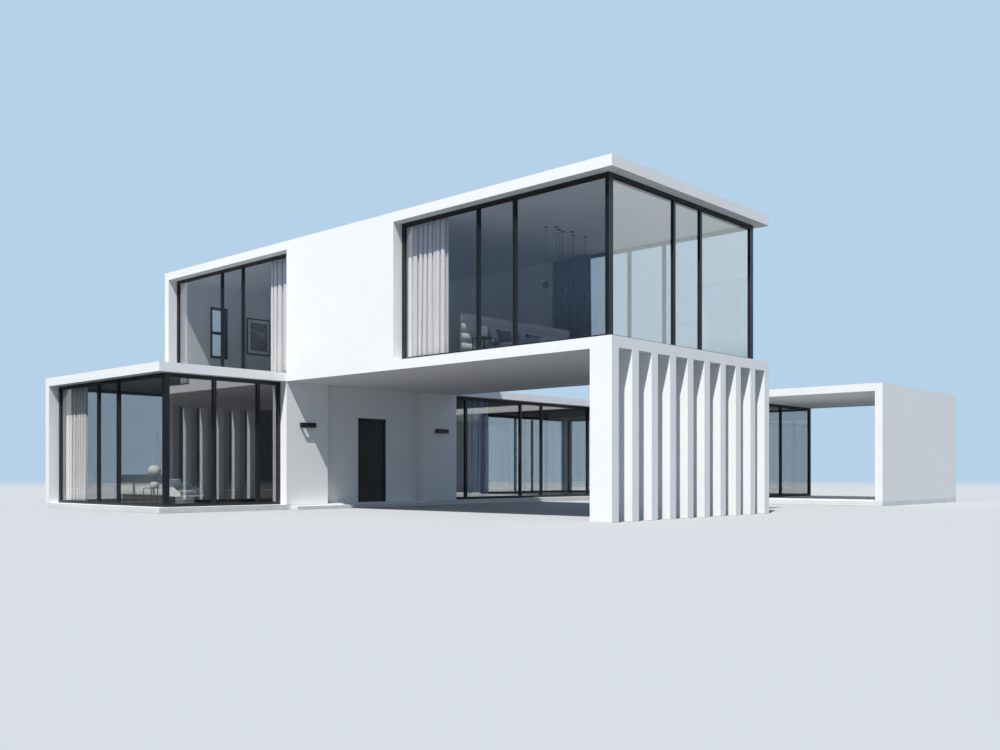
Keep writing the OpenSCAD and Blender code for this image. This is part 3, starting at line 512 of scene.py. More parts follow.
def cloth_material(name, light, dark, threads=180, sheen=0.2, on_flat=False, hollow_shade_share=0.0):
    """A woven cloth with a soft sheen, and painted shade that darkens its hollows by the given share."""
    made = surface(name, light=light, dark=dark, scale=3, rough=0.86, grain=260, wave=14, share=0.3,
                   depth=0.0006)
    tree = made.node_tree
    measure = add(tree, "UVMap", uv_map="cloth").outputs[0] if on_flat else house_place(made)
    height = 0
    for direction in "XY" if on_flat else "XYZ":
        thread = add(tree, "TexWave", wave_type="BANDS", bands_direction=direction, Scale=threads,
                     Distortion=THREAD_UNEVEN)
        wire(tree, measure, thread.inputs["Vector"])
        height = combine(tree, "ADD", height, thread.outputs["Fac"])
    lay_bump(made, height, THREAD_DEPTH, THREAD_STRENGTH)
    # painted shade: the cloth is darkened in its hollows
    if hollow_shade_share:
        darken(made, add(tree, "Attribute", attribute_name="hollow_shade").outputs["Fac"], 1 - hollow_shade_share)
    shader = tree.nodes["Principled BSDF"]
    shader.inputs["Sheen Weight"].default_value = sheen
    shader.inputs["Sheen Roughness"].default_value = SHEEN_ROUGH
    return made


pale_cloth = cloth_material("pale_curtain", light=(0.93, 0.865, 0.865), dark=(0.88, 0.81, 0.815), sheen=0.15,
                            on_flat=True, hollow_shade_share=CURTAIN_HOLLOW_SHADE)
dark_cloth = cloth_material("dark_curtain", light=(0.15, 0.17, 0.21), dark=(0.10, 0.115, 0.15),
                            on_flat=True, hollow_shade_share=CURTAIN_HOLLOW_SHADE)
blue_cloth = cloth_material("blue_curtain", light=(0.36, 0.44, 0.58), dark=(0.28, 0.35, 0.48),
                            on_flat=True, hollow_shade_share=CURTAIN_HOLLOW_SHADE)
throw_cloth = cloth_material("throw_cloth", light=(0.24, 0.28, 0.36), dark=(0.18, 0.215, 0.28), threads=90,
                             sheen=0.4, on_flat=True)
bed_fabric = cloth_material("bed_fabric", light=(0.66, 0.65, 0.65), dark=(0.60, 0.59, 0.59))
bed_linen = cloth_material("bed_linen", light=(0.58, 0.64, 0.73), dark=(0.51, 0.57, 0.66), threads=260)
cushion_cloth = cloth_material("cushion_cloth", light=(0.075, 0.095, 0.145), dark=(0.05, 0.065, 0.10),
                               sheen=0.4)
sofa_fabric = cloth_material("sofa_fabric", light=(0.70, 0.69, 0.66), dark=(0.62, 0.61, 0.58), threads=120)
chair_fabric = cloth_material("chair_fabric", light=(0.16, 0.18, 0.23), dark=(0.11, 0.125, 0.165),
                              threads=110, sheen=0.4)
print("cloths", len([m for m in bpy.data.materials if m.node_tree and "Wave Texture" in m.node_tree.nodes]))


# %% [markdown]
# Wood is dark and satin here, and its clouds become grain when they are stretched along one direction.
# Leather shows its cells only where light grazes it. The metals and the moulded shell of the chair are plain
# surfaces, and so is the roofing, with the coarse skin of a membrane that is rolled out and trodden on.

# %% Wood, leather, shells and metals
GRAIN_STRETCH = (0.5, 9, 9)
LEATHER_CELLS = 260
CELL_DEPTH, CELL_STRENGTH = 0.0006, 0.6


def wood_material(name, light, dark, rough):
    """Wood whose grain runs along X."""
    made = surface(name, light=light, dark=dark, scale=2, rough=rough, grain=120, wave=9, share=0.5,
                   depth=0.0003)
    tree = made.node_tree
    along_grain = add(tree, "Mapping", Scale=GRAIN_STRETCH)
    tone = next(item for item in tree.nodes if item.type == "GROUP" and item.node_tree == CLOUDY_TONE)
    wire(tree, house_place(made), along_grain.inputs["Vector"], along_grain.outputs[0], tone.inputs["Place"])
    return made


def leather_material(name, light, dark):
    """Leather with small pebbled cells."""
    made = surface(name, light=light, dark=dark, scale=3, rough=0.46, grain=420, wave=25, share=0.25,
                   depth=0.0004)
    cells = add(made.node_tree, "TexVoronoi", feature="DISTANCE_TO_EDGE", Scale=LEATHER_CELLS)
    wire(made.node_tree, house_place(made), cells.inputs["Vector"])
    lay_bump(made, cells.outputs["Distance"], CELL_DEPTH, CELL_STRENGTH)
    return made


dark_wood = wood_material("dark_wood", light=(0.085, 0.048, 0.028), dark=(0.045, 0.025, 0.015), rough=0.42)
brown_leather = leather_material("brown_leather", light=(0.20, 0.095, 0.052), dark=(0.13, 0.06, 0.034))
chair_shell = surface("chair_shell", light=(0.78, 0.75, 0.70), dark=(0.74, 0.71, 0.66), scale=2, rough=0.34,
                      grain=300, wave=6, share=0.6, depth=0.0002)
white_metal = surface("white_metal", light=(0.78, 0.78, 0.78), dark=(0.74, 0.74, 0.74), scale=3, rough=0.45,
                      grain=700, wave=20, share=0.2, depth=0.0002)
steel = surface("brushed_steel", light=(0.60, 0.60, 0.60), dark=(0.50, 0.50, 0.50), scale=8, rough=0.34,
                grain=500, wave=60, share=0.2, depth=0.0002, metal=1.0)
membrane = surface("roof_membrane", light=(0.45, 0.46, 0.47), dark=(0.37, 0.38, 0.39), scale=0.6, rough=0.72,
                   grain=140, wave=2, share=0.4, depth=0.0015)
print("more surfaces", dark_wood.name, brown_leather.name, chair_shell.name, white_metal.name, steel.name)

# %% [markdown]
# The rooms have large dark tiles, laid half over half with thin joints. The joints could be modelled one by
# one, but at this distance a brick pattern that darkens and lowers them does the same.

# %% Floor tiles
TILE_LONG, TILE_WIDE, TILE_JOINT = 1.2, 0.6, 0.004
JOINT_TONE = (0.045, 0.045, 0.047, 1)
JOINT_DEPTH = 0.001
floor_tiles = surface("floor_tiles", light=(0.125, 0.125, 0.130), dark=(0.090, 0.090, 0.094), scale=0.8,
                      rough=0.42, grain=90, wave=4, share=0.3, depth=0.0003)
tile_tree = floor_tiles.node_tree
tile_colour = tile_tree.nodes["Principled BSDF"].inputs["Base Color"]
tile_pattern = add(tile_tree, "TexBrick", Scale=1, Mortar_Size=TILE_JOINT, Brick_Width=TILE_LONG,
                   Row_Height=TILE_WIDE)
tile_joints = tile_pattern.outputs["Fac"]
wire(tile_tree, house_place(floor_tiles), tile_pattern.inputs["Vector"])
wire(tile_tree, blend(tile_tree, tile_joints, tile_colour.links[0].from_socket, JOINT_TONE), tile_colour)
lay_bump(floor_tiles, tile_joints, -JOINT_DEPTH)
print("tiles", TILE_LONG, "by", TILE_WIDE, "m")

# %% [markdown]
# The lamp by the sofa is ribbed opal glass. Upright ribs stand side by side all round it, so their bump reads
# the angle round the lamp's own axis.

# %% Opal glass with ribs
RIBS_ROUND = 40
RIB_RISE = 0.004
OPAL_CLEAR = 0.2
opal_glass = surface("opal_glass", light=(0.87, 0.87, 0.87), dark=(0.84, 0.84, 0.84), scale=3, rough=0.22,
                     grain=200, wave=20, share=0.3, depth=0.0001)
lamp_middle = sum(box_of("table_lamp"), Vector()) / 2
opal_tree = opal_glass.node_tree
round_lamp = add(opal_tree, "Mapping", Location=(-lamp_middle.x, -lamp_middle.y, 0))
lamp_angle = add(opal_tree, "TexGradient", gradient_type="RADIAL")
wire(opal_tree, house_place(opal_glass), round_lamp.inputs["Vector"],
     round_lamp.outputs[0], lamp_angle.inputs["Vector"])
rib_turn = combine(opal_tree, "MULTIPLY", lamp_angle.outputs["Fac"], 2 * math.pi * RIBS_ROUND)
rib = add(opal_tree, "Math", operation="SINE")
wire(opal_tree, rib_turn, rib.inputs[0])
lay_bump(opal_glass, rib.outputs[0], RIB_RISE)
opal_tree.nodes["Principled BSDF"].inputs["Transmission Weight"].default_value = OPAL_CLEAR
print("ribs", RIBS_ROUND)

# %% [markdown]
# The rooms on the ground floor look dark behind their glass, although they have windows on three sides, so
# their walls and ceilings are darkened inside by painted shade. A wall is one piece inside and out. The
# painted
# shade is therefore a mask: it covers what lies within two boxes, one for each bar, that end just short of
# every outer face. The window frames, piers, plinth and roof say where the boxes end, so the shade follows
# when one of them moves.

# %% Painted shade in the rooms on the ground floor
# painted shade: the share of its tone that the render keeps inside the ground-floor rooms
ROOM_SHADE = 0.35
FROM_FRAMES = 0.03
FROM_TERRACE = 0.2
INTO_WALL, OVER_PLINTH = 0.02, 0.01

shade_foot = face_of("west_plinth", 1, "z") + OVER_PLINTH
shade_top = face_of("front_roof", 0, "z") + INTO_WALL
shade_front = face_of("front_room_frame", 0, "y") + FROM_FRAMES
shade_back = face_of("far_room_frames", 1, "y") - FROM_FRAMES
shade_west = face_of("west_piers", 1, "x") - INTO_WALL
between_bars = face_of("court_frame", 0, "x") - FROM_FRAMES
far_front_in = face_of("far_room_frames", 0, "y") + FROM_FRAMES
far_end_in = face_of("terrace_frame", 0, "x") - FROM_TERRACE
west_rooms = (shade_west, shade_front, shade_foot), (between_bars, shade_back, shade_top)
far_rooms = (between_bars, far_front_in, shade_foot), (far_end_in, shade_back, shade_top)


def inside_box(tree, place, low, high):
    """A mask that is 1 where a place lies in a box."""
    low, high = Vector(low), Vector(high)
    from_middle = add(tree, "VectorMath", operation="SUBTRACT")
    reach = add(tree, "VectorMath", operation="ABSOLUTE")
    over = add(tree, "VectorMath", operation="SUBTRACT")
    sides = add(tree, "SeparateXYZ")
    wire(tree, place, from_middle.inputs[0], (low + high) / 2, from_middle.inputs[1],
         from_middle.outputs[0], reach.inputs[0], reach.outputs[0], over.inputs[0],
         (high - low) / 2, over.inputs[1], over.outputs[0], sides.inputs[0])
    across = combine(tree, "MAXIMUM", sides.outputs["X"], sides.outputs["Y"])
    return combine(tree, "LESS_THAN", combine(tree, "MAXIMUM", across, sides.outputs["Z"]), 0)


wall_tree = white_render.node_tree
wall_place = house_place(white_render)
room_shade_masks = [inside_box(wall_tree, wall_place, low, high) for low, high in (west_rooms, far_rooms)]
# painted shade: walls and ceilings inside the ground-floor rooms are darkened to this share
darken(white_render, combine(wall_tree, "MAXIMUM", *room_shade_masks), ROOM_SHADE)
print("painted", ROOM_SHADE, "of the outer tone")

# %% [markdown]
# Every node of the construction already names the finish that it should have. One table says which material
# that is, so each node is dressed in a loop. Nodes that a curtain or a pad replaces later aren't in it.

# %% Dress the construction
FINISH_OF_SLOT = {
    "white_render": white_render, "pale_concrete": pale_concrete, "black_aluminium": black_coat,
    "window_glass": window_glass, "door_paint": door_coat, "black_metal": black_metal,
    "smoked_glass": smoked_glass, "picture_print": black_metal, "white_metal": white_metal,
    "dark_wood": dark_wood, "chair_shell": chair_shell, "opal_glass": opal_glass,
}
slot_of_node = {part["node"]: part["material_slot"] for part in frame["record"]["subparts"]}
for name, part in nodes.items():
    finish = FINISH_OF_SLOT.get(slot_of_node[name])
    if finish is None:
        continue
    if not part.material_slots:
        part.data.materials.append(finish)
    for place_in_list in part.material_slots:
        place_in_list.material = finish
print("dressed", sum(1 for name in nodes if slot_of_node[name] in FINISH_OF_SLOT), "nodes")

# %% [markdown]
# ## Tools for new pieces
#
# New pieces are made with bmesh operators. Three helpers cover most of them: a bar with softened edges, a
# turned piece made by spinning its outline, and the last steps that every piece takes, which give it a
# finish and make it ride on its body. A piece's object always sits at the origin, with its place in its
# mesh.
#
# One node often holds several separate solids, such as the panes of a window. `solids_of` walks along the
# edges of a copy of its mesh to tell them apart, so a new piece can be fitted to each.

# %% Helpers for pieces
SAME_POINT = 1e-5
SAME_CORNER = 1e-4


def finish_piece(bm, name, material, body=HOUSE, smooth=False, slot=None):
    """Turns a bmesh into a piece that rides on a body, and prints how many faces it has."""
    data = bpy.data.meshes.new(name)
    bmesh.ops.recalc_face_normals(bm, faces=bm.faces)
    for face in bm.faces:
        face.smooth = smooth
    bm.to_mesh(data)
    bm.free()
    data.materials.append(material)
    piece = bpy.data.objects.new(name, data)
    bpy.context.collection.objects.link(piece)
    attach(piece, body)
    print(name, len(data.polygons), "faces")
    return piece


def bar(bm, low, high, soft=0.002):
    """Adds a bar between two corners to bm, with its edges softened."""
    low, high = Vector(low), Vector(high)
    made = bmesh.ops.create_cube(bm, size=1)
    corners = made["verts"]
    bmesh.ops.scale(bm, vec=high - low, verts=corners)
    bmesh.ops.translate(bm, vec=(low + high) / 2, verts=corners)
    edges = list({edge for corner in corners for edge in corner.link_edges})
    if soft:
        bmesh.ops.bevel(bm, geom=edges, offset=soft, segments=2, affect="EDGES", profile=0.5, material=-1)


def turned(bm, outline, centre, steps=32):
    """Adds a turned piece to bm. The outline is a list of radius and height, from one pole to the other."""
    centre = Vector(centre)
    points = [bm.verts.new(centre + Vector((radius, 0, height))) for radius, height in outline]
    edges = [bm.edges.new(pair) for pair in zip(points, points[1:])]
    bmesh.ops.spin(bm, geom=points + edges, cent=centre, axis=(0, 0, 1), angle=2 * math.pi, steps=steps,
                   use_merge=True, use_normal_flip=False, use_duplicate=False)
    bmesh.ops.remove_doubles(bm, verts=bm.verts, dist=SAME_POINT)


def arc(radius, start, stop, count, lift=0.0):
    """Points of an outline on a circle round the axis, by angle from straight down."""
    angles = [math.radians(start + (stop - start) * i / (count - 1)) for i in range(count)]
    return [(max(radius * math.sin(a), 0), lift - radius * math.cos(a)) for a in angles]


def solids_of(name):
    """The lowest and highest corner of each separate solid in a node, from a copy of its mesh."""
    bm = bmesh.new()
    bm.from_mesh(nodes[name].data)
    bmesh.ops.remove_doubles(bm, verts=bm.verts, dist=SAME_CORNER)
    left, found = set(bm.verts), []
    while left:
        reach, island = [left.pop()], []
        while reach:
            corner = reach.pop()
            island.append(corner.co.copy())
            for edge in corner.link_edges:
                other = edge.other_vert(corner)
                if other in left:
                    left.remove(other)
                    reach.append(other)
        low = Vector(min(point[axis] for point in island) for axis in range(3))
        high = Vector(max(point[axis] for point in island) for axis in range(3))
        found.append((low, high))
    bm.free()
    return sorted(found, key=lambda pair: tuple(round(value, 3) for value in pair[0]))


def thicken(piece, thickness, offset=-1):
    """Gives a sheet its thickness. An offset of 0 puts half of it on either side."""
    body = piece.modifiers.new("thickness", "SOLIDIFY")
    body.thickness = thickness
    body.offset = offset


print("window panes in the corner room:", len(solids_of("upper_corner_glass")))

# %% [markdown]
# ## Seals round the glass
#
# Where glass enters a frame, a thin rubber seal covers the joint on both sides. It is what draws the fine
# matt line round each pane. Each pane's place comes from the solids of the glass, and the strip of pane that
# hides in the frame's groove is taken off its edges.

# %% Rubber seals
GROOVE = 0.015
SEAL_FACE = 0.009
SEAL_RISE = 0.005
SEAL_GAP = 0.0004
rubber = surface("seal_rubber", light=(0.020, 0.020, 0.021), dark=(0.013, 0.013, 0.014), scale=4, rough=0.72,
                 grain=500, wave=20, share=0.2, depth=0.0002)


def seal_ring(bm, low, high, across, outside):
    """A ring of seal on one face of a pane. across is the pane's thin axis, 0 or 1, and outside -1 or 1."""
    along = 1 - across
    face = high[across] if outside > 0 else low[across]
    near, far = sorted((face + outside * SEAL_GAP, face + outside * (SEAL_GAP + SEAL_RISE)))
    start, end = low[along] + GROOVE, high[along] - GROOVE
    bottom, top = low.z + GROOVE, high.z - GROOVE
    for left, right, under, over in (
            (start, end, bottom, bottom + SEAL_FACE),
            (start, end, top - SEAL_FACE, top),
            (start, start + SEAL_FACE, bottom + SEAL_FACE, top - SEAL_FACE),
            (end - SEAL_FACE, end, bottom + SEAL_FACE, top - SEAL_FACE)):
        first, last = Vector((0, 0, under)), Vector((0, 0, over))
        first[across], last[across] = near, far
        first[along], last[along] = left, right
        bar(bm, first, last, soft=0)


for node_name in ("west_bar_glass", "far_room_glass", "upper_corner_glass", "upper_west_glass"):
    seal_mesh = bmesh.new()
    for pane_low, pane_high in solids_of(node_name):
        thin = 0 if pane_high.x - pane_low.x < pane_high.y - pane_low.y else 1
        for facing in (-1, 1):
            seal_ring(seal_mesh, pane_low, pane_high, thin, facing)
    finish_piece(seal_mesh, node_name.replace("glass", "seals"), rubber, slot="black_aluminium")

# %% [markdown]
# ## Curtains
#
# A gathered curtain is a flat cloth about twice as wide as the space it hangs in. Its heading tape sets
# pleats at the top, and further down the folds open, drift and lean on each other. The cloth here is a grid,
# and each point is moved sideways and in depth by one wave along the cloth. Seen from above, the wave has
# broad, rather flat fronts and steep sides, as heavy cloth has: the fronts catch the lamp and the sides turn
# away from it. Folds have different widths and sizes, and lean with the height, so no two are the same.
# Where a curtain is seen from far to its side, shallow folds keep it from looking like nothing but sides.

# %% Folds of a curtain
FOLD = 0.175
FOLD_WIDTHS = (0.45, 1.9)
FOLD_SIZES = (0.62, 1.0)
FOLD_LEAN = 0.9
FOLD_DRIFT = 0.06
CURL = 0.115
BROAD_FRONT = 0.06
THIRD_WAVE, FIFTH_WAVE = 0.10, 0.04
WAVE_REACH = 2.05
PLEATED, OPENS_BY = 0.82, 2.2
HOLLOW_FROM, HOLLOW_POWER = -0.15, 1.3
SWAY = ("size", "lean", "drift")


def curtain_point(across, down, folds, depth, width):
    """Where a point of the cloth hangs, sideways and in depth, and how far down in a hollow it lies, for
    painted shade.
    """
    turn = across * len(folds)
    number = min(int(turn), len(folds) - 1)
    here, following, share = folds[number], folds[min(number + 1, len(folds) - 1)], turn - number
    size, lean, drift = (here[word] + (following[word] - here[word]) * share for word in SWAY)
    wide = (here["wide"] + (following["wide"] - here["wide"]) * share) * width
    opening = PLEATED + (1 - PLEATED) * min(1, down * OPENS_BY)
    phase = 2 * math.pi * turn + lean * down
    wave = math.sin(phase) + THIRD_WAVE * math.sin(3 * phase)
    wave += FIFTH_WAVE * math.sin(5 * phase + 4 * down + lean)
    sideways = (here["start"] + here["wide"] * share) * width + drift * down * math.sin(math.pi * across)
    sideways -= wide * (CURL * math.sin(2 * phase) + BROAD_FRONT * (math.cos(phase) - math.cos(lean * down)))
    # painted shade mask: 0 on the fronts, rising towards the back of each hollow
    hollow_shade = max(0, HOLLOW_FROM - wave) ** HOLLOW_POWER
    return sideways, depth / WAVE_REACH * wave * size * opening, hollow_shade


def draw_folds(count, seed):
    """Folds of different widths that fill a curtain together, each with its own size, lean and drift."""
    draw = random.Random(seed)
    widths = [draw.uniform(*FOLD_WIDTHS) for _ in range(count)]
    folds = []
    for i, wide in enumerate(widths):
        folds.append({"wide": wide / sum(widths), "start": sum(widths[:i]) / sum(widths),
                      "size": draw.uniform(*FOLD_SIZES), "lean": draw.uniform(-FOLD_LEAN, FOLD_LEAN),
                      "drift": draw.uniform(-FOLD_DRIFT, FOLD_DRIFT)})
    return folds


print("folds about", round(FOLD * FOLD_WIDTHS[0], 2), "to", round(FOLD * FOLD_WIDTHS[1], 2), "m wide")

# %% [markdown]
# Each curtain takes the place of the plain solid that stands for it, and hangs under the same track. The
# length of its middle row, measured along the folds, is the width that the cloth would have when laid flat.

# %% Hang the curtains
COLUMNS_A_FOLD = 24
CURTAIN_ROWS = 26
CURTAIN_CLEAR = 0.03
CURTAIN_THICK = 0.002


def folded_cloth(low, high, folds, front, fullness):
    """A grid hung in folds between two corners, and the width that it has when laid flat."""
    along = 0 if high.x - low.x > high.y - low.y else 1
    width, depth = high[along] - low[along], high[1 - along] - low[1 - along]
    bm = bmesh.new()
    bmesh.ops.create_grid(bm, x_segments=len(folds) * COLUMNS_A_FOLD, y_segments=CURTAIN_ROWS, size=0.5)
    flat_map = bm.loops.layers.uv.new("cloth")
    hollow_shade_layer = bm.verts.layers.float.new("hollow_shade")
    shares = {vert: (vert.co.x + 0.5, 0.5 - vert.co.y) for vert in bm.verts}
    rows = {}
    for vert, (across, down) in shares.items():
        sideways, inwards, hollow_shade = curtain_point(across, down, folds, fullness * (depth - CURTAIN_CLEAR),
                                                  width - 2 * CURTAIN_CLEAR)
        place = Vector((0, 0, high.z - (high.z - low.z) * down))
        place[along] = low[along] + CURTAIN_CLEAR + sideways
        place[1 - along] = (low[1 - along] + high[1 - along]) / 2 + front * inwards
        vert.co = place
        vert[hollow_shade_layer] = hollow_shade
        rows.setdefault(round(down * CURTAIN_ROWS), []).append((across, place))
    middle = [place for _, place in sorted(rows[CURTAIN_ROWS // 2], key=lambda item: item[0])]
    flat_width = sum((after - before).length for before, after in zip(middle, middle[1:]))
    for face in bm.faces:
        for loop in face.loops:
            across, down = shares[loop.vert]
            loop[flat_map].uv = (across * flat_width, down * (high.z - low.z))
    return bm, flat_width


def hang_curtain(name, node_name, cloth, seed, slot="pale_curtain", front=-1, fullness=1.0):
    """A gathered curtain in the space of its plain solid, with its broad fronts on one side of it."""
    low, high = box_of(node_name)
    width, height = max(high.x - low.x, high.y - low.y), high.z - low.z
    folds = draw_folds(round(width / FOLD), seed)
    bm, flat_width = folded_cloth(low, high, folds, front, fullness)
    piece = finish_piece(bm, name, cloth, smooth=True, slot=slot)
    thicken(piece, CURTAIN_THICK, offset=0)
    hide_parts(node_name)
    print(name, "flat cloth", round(flat_width, 2), "by", round(height, 2), "m,", len(folds), "folds")


hang_curtain("curtain_corner_front", "curtain_upper_front", pale_cloth, seed=11)
hang_curtain("curtain_corner_back", "curtain_upper_back", dark_cloth, seed=12, slot="dark_curtain")
hang_curtain("curtain_west_room", "curtain_upper_west", pale_cloth, seed=13)
hang_curtain("curtain_living_room", "curtain_front_room", pale_cloth, seed=14, fullness=0.5)
hang_curtain("curtain_courtyard", "curtain_court", blue_cloth, seed=15, front=1)

# %% [markdown]
# ## Pendants
#
# Seven globes of smoked glass hang at different heights. A blown globe is a thin shell with a mouth at the
# top, held by a small metal cup, with a frosted lamp inside. The shell's outline goes round from the mouth
# to the pole and back inside, so that one spin makes the whole wall.

# %% Glass globes, cups and lamps
GLOBE_WALL = 0.003
GLOBE_POINTS = 22
MOUTH_ANGLE = 160
CUP_SHARE = 0.36
BULB_OUTLINE = [(0, -0.045)] + arc(0.035, 20, 150, 9, lift=-0.010) + [(0.014, 0.035), (0, 0.035)]
frosted = surface("frosted_lamp", light=(0.80, 0.79, 0.76), dark=(0.72, 0.71, 0.69), scale=6, rough=0.55,
                  grain=300, wave=30, share=0.2, depth=0.0002)


def globe_outline(radius):
    """The wall of a globe, up its outside to the mouth and back down inside."""
    return arc(radius, 0, MOUTH_ANGLE, GLOBE_POINTS) + arc(radius - GLOBE_WALL, MOUTH_ANGLE, 0, GLOBE_POINTS)


def cup_outline(radius):
    """A small cup that closes the mouth of a globe and tapers down into it."""
    neck = radius * CUP_SHARE
    return [(0, radius), (neck * 0.5, radius), (neck, radius - 0.012), (neck, radius - 0.030),
            (neck * 0.8, radius - 0.034), (neck * 0.4, radius - 0.06), (0, radius - 0.06)]


shells, cups, bulbs = bmesh.new(), bmesh.new(), bmesh.new()
for globe_low, globe_high in solids_of("pendant_globes"):
    middle = (globe_low + globe_high) / 2
    radius = (globe_high.z - globe_low.z) / 2
    turned(shells, globe_outline(radius), middle)
    turned(cups, cup_outline(radius), middle, steps=24)
    turned(bulbs, BULB_OUTLINE, middle, steps=20)
shell = finish_piece(shells, "pendant_shells", smoked_glass, smooth=True, slot="smoked_glass")
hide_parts("pendant_globes")
finish_piece(cups, "pendant_cups", black_metal, smooth=True, slot="black_metal")
finish_piece(bulbs, "pendant_lamps", frosted, smooth=True, slot="smoked_glass")

# %% [markdown]
# ## Floors, roofing and fittings
#
# Thin finishes lie on the construction. In the rooms these are the dark tiles, which end where walls and
# window frames begin. Each room's outline comes from the nodes that surround it, so it follows when a wall
# moves.

# %% Tile the rooms
FINISH_THICK = 0.002
FINISH_LIFT = 0.0002
FRAME_DEEP = 0.1

ground = face_of("west_plinth", 1, "z")
wall_in = face_of("west_wall", 1, "x")
pier_in = face_of("west_piers", 1, "x")
glass_in = face_of("front_room_side_frame", 0, "x")
entry_in = face_of("entry_pier_front", 0, "x")
room_front = face_of("front_room_frame", 1, "y")
hall_front, hall_back = face_of("entry_pier_front", 0, "y"), face_of("entry_pier_back", 1, "y")
far_front, far_back = face_of("far_room_frames", 0, "y"), face_of("far_room_frames", 1, "y") - FRAME_DEEP
rooms = [
    (pier_in, room_front, glass_in, hall_front, ground),
    (wall_in, hall_front, entry_in, hall_back, ground),
    (wall_in, hall_back, glass_in, far_front, ground),
    (pier_in, far_front + FRAME_DEEP, face_of("terrace_frame", 0, "x"), far_back, ground),
    (face_of("upper_end_wall", 1, "x"), face_of("upper_front_wall", 1, "y"),
     face_of("upper_side_frame", 0, "x"), face_of("upper_back_wall", 0, "y"), face_of("upper_floor", 1, "z")),
]
tiles = bmesh.new()
for x_start, y_start, x_end, y_end, level in rooms:
    bar(tiles, (x_start, y_start, level + FINISH_LIFT), (x_end, y_end, level + FINISH_THICK), soft=0)
finish_piece(tiles, "room_floors", floor_tiles, slot="pale_concrete")

# %% [markdown]
# The roofs are shallow trays behind a raised kerb. Roofers roll a membrane out in strips and weld each strip
# over the edge of the last, so a tray is one thin sheet with narrow laps across it.

# %% Roof the trays
KERB = 0.22
TRAY = 0.07
ROLL = 1.5
LAP = 0.05
SHEET = 0.003
ROOF_LIFT = 0.0003
trays = []
for roof_name in ("upper_roof", "front_roof", "court_roof", "far_roof"):
    roof_low, roof_high = box_of(roof_name)
    tray_low = roof_low + Vector((KERB, KERB, 0))
    tray_high = roof_high - Vector((KERB, KERB, 0))
    if roof_name == "court_roof":
        tray_high.y = roof_high.y + KERB
    tray_low.z = tray_high.z = roof_high.z - TRAY
    trays.append((tray_low, tray_high))

sheets = bmesh.new()
for tray_low, tray_high in trays:
    bar(sheets, tray_low + Vector((0, 0, ROOF_LIFT)), tray_high + Vector((0, 0, SHEET)), soft=0)
    rolls = math.ceil((tray_high.x - tray_low.x) / ROLL)
    for i in range(1, rolls):
        seam = tray_low.x + i * ROLL
        bar(sheets, (seam, tray_low.y, tray_low.z + SHEET),
            (min(seam + LAP, tray_high.x), tray_high.y, tray_low.z + 2 * SHEET), soft=0.001)

# %% [markdown]
# A folded metal capping covers the kerb and keeps rain out of the wall. It comes in lengths of about three
# metres, and the fine joints between them are what the eye finds along a roof's edge. Where two roofs meet,
# the kerb stops and so does its capping.

# %% Cap the kerbs
CAP_SET_BACK = 0.012
CAP_LENGTH = 3.0
CAP_JOINT = 0.003
CAP_THICK = 0.0015
capping = bmesh.new()


def cap_run(start, end, top):
    """Lays capping on a kerb between two corners in plan, in lengths with fine joints."""
    start, end = Vector((*start, top + ROOF_LIFT)), Vector((*end, top + ROOF_LIFT + CAP_THICK))
    axis = 0 if end.x - start.x > end.y - start.y else 1
    count = max(1, round((end - start)[axis] / CAP_LENGTH))
    for i in range(count):
        low, high = start.copy(), end.copy()
        low[axis] = start[axis] + (end[axis] - start[axis]) * i / count
        high[axis] = start[axis] + (end[axis] - start[axis]) * (i + 1) / count - CAP_JOINT
        bar(capping, low, high, soft=0.0005)


def cap_frame(low, high, sides):
    """Capping on the kerb round a roof's box, on the named sides only."""
    out, inside = CAP_SET_BACK, KERB - CAP_SET_BACK
    runs = {
        "front": ((low.x + out, low.y + out), (high.x - out, low.y + inside)),
        "back": ((low.x + out, high.y - inside), (high.x - out, high.y - out)),
        "west": ((low.x + out, low.y + KERB), (low.x + inside, high.y - KERB)),
        "east": ((high.x - inside, low.y + KERB), (high.x - out, high.y - KERB)),
    }
    for side in sides:
        cap_run(*runs[side], high.z)


cap_frame(*box_of("upper_roof"), ("front", "back", "west", "east"))
cap_frame(*box_of("front_roof"), ("front", "west", "east"))
court_low, court_high = box_of("court_roof")
cap_frame(court_low, court_high + Vector((0, KERB, 0)), ("west", "east"))
far_low, far_high = box_of("far_roof")
cap_frame(far_low, far_high, ("back", "west", "east"))
cap_run((court_high.x + CAP_SET_BACK, far_low.y + CAP_SET_BACK),
        (far_high.x - CAP_SET_BACK, far_low.y + KERB - CAP_SET_BACK), far_high.z)
finish_piece(sheets, "roof_membranes", membrane, slot="pale_concrete")
finish_piece(capping, "roof_capping", white_metal, slot="white_metal")

# %% [markdown]
# Water leaves each tray through two outlets: a clamped flange with a domed cap, and a ring of bars round the
# cap that keeps leaves out.

# %% Roof outlets
OUTLET_SHARES = (0.2, 0.8)
OUTLET_FROM_KERB = 0.35
OUTLET_OUTLINE = [(0, 0), (0.16, 0), (0.16, 0.004), (0.075, 0.006), (0.075, 0.03), (0.070, 0.045),
                  (0.05, 0.062), (0, 0.070)]
GUARD_BARS = 12
GUARD_PLACE = Matrix.Translation((0.082, 0, 0.022))
GUARD_SIZE = Matrix.Diagonal((0.014, 0.006, 0.034, 1))
outlets = bmesh.new()
for tray_low, tray_high in trays:
    for share in OUTLET_SHARES:
        spot = Vector((tray_low.x + (tray_high.x - tray_low.x) * share, tray_low.y + OUTLET_FROM_KERB,
                       tray_low.z + SHEET))
        turned(outlets, OUTLET_OUTLINE, spot, steps=24)
        for step in range(GUARD_BARS):
            turn = Matrix.Translation(spot) @ Matrix.Rotation(2 * math.pi * step / GUARD_BARS, 4, "Z")
            bmesh.ops.create_cube(outlets, size=1, matrix=turn @ GUARD_PLACE @ GUARD_SIZE)
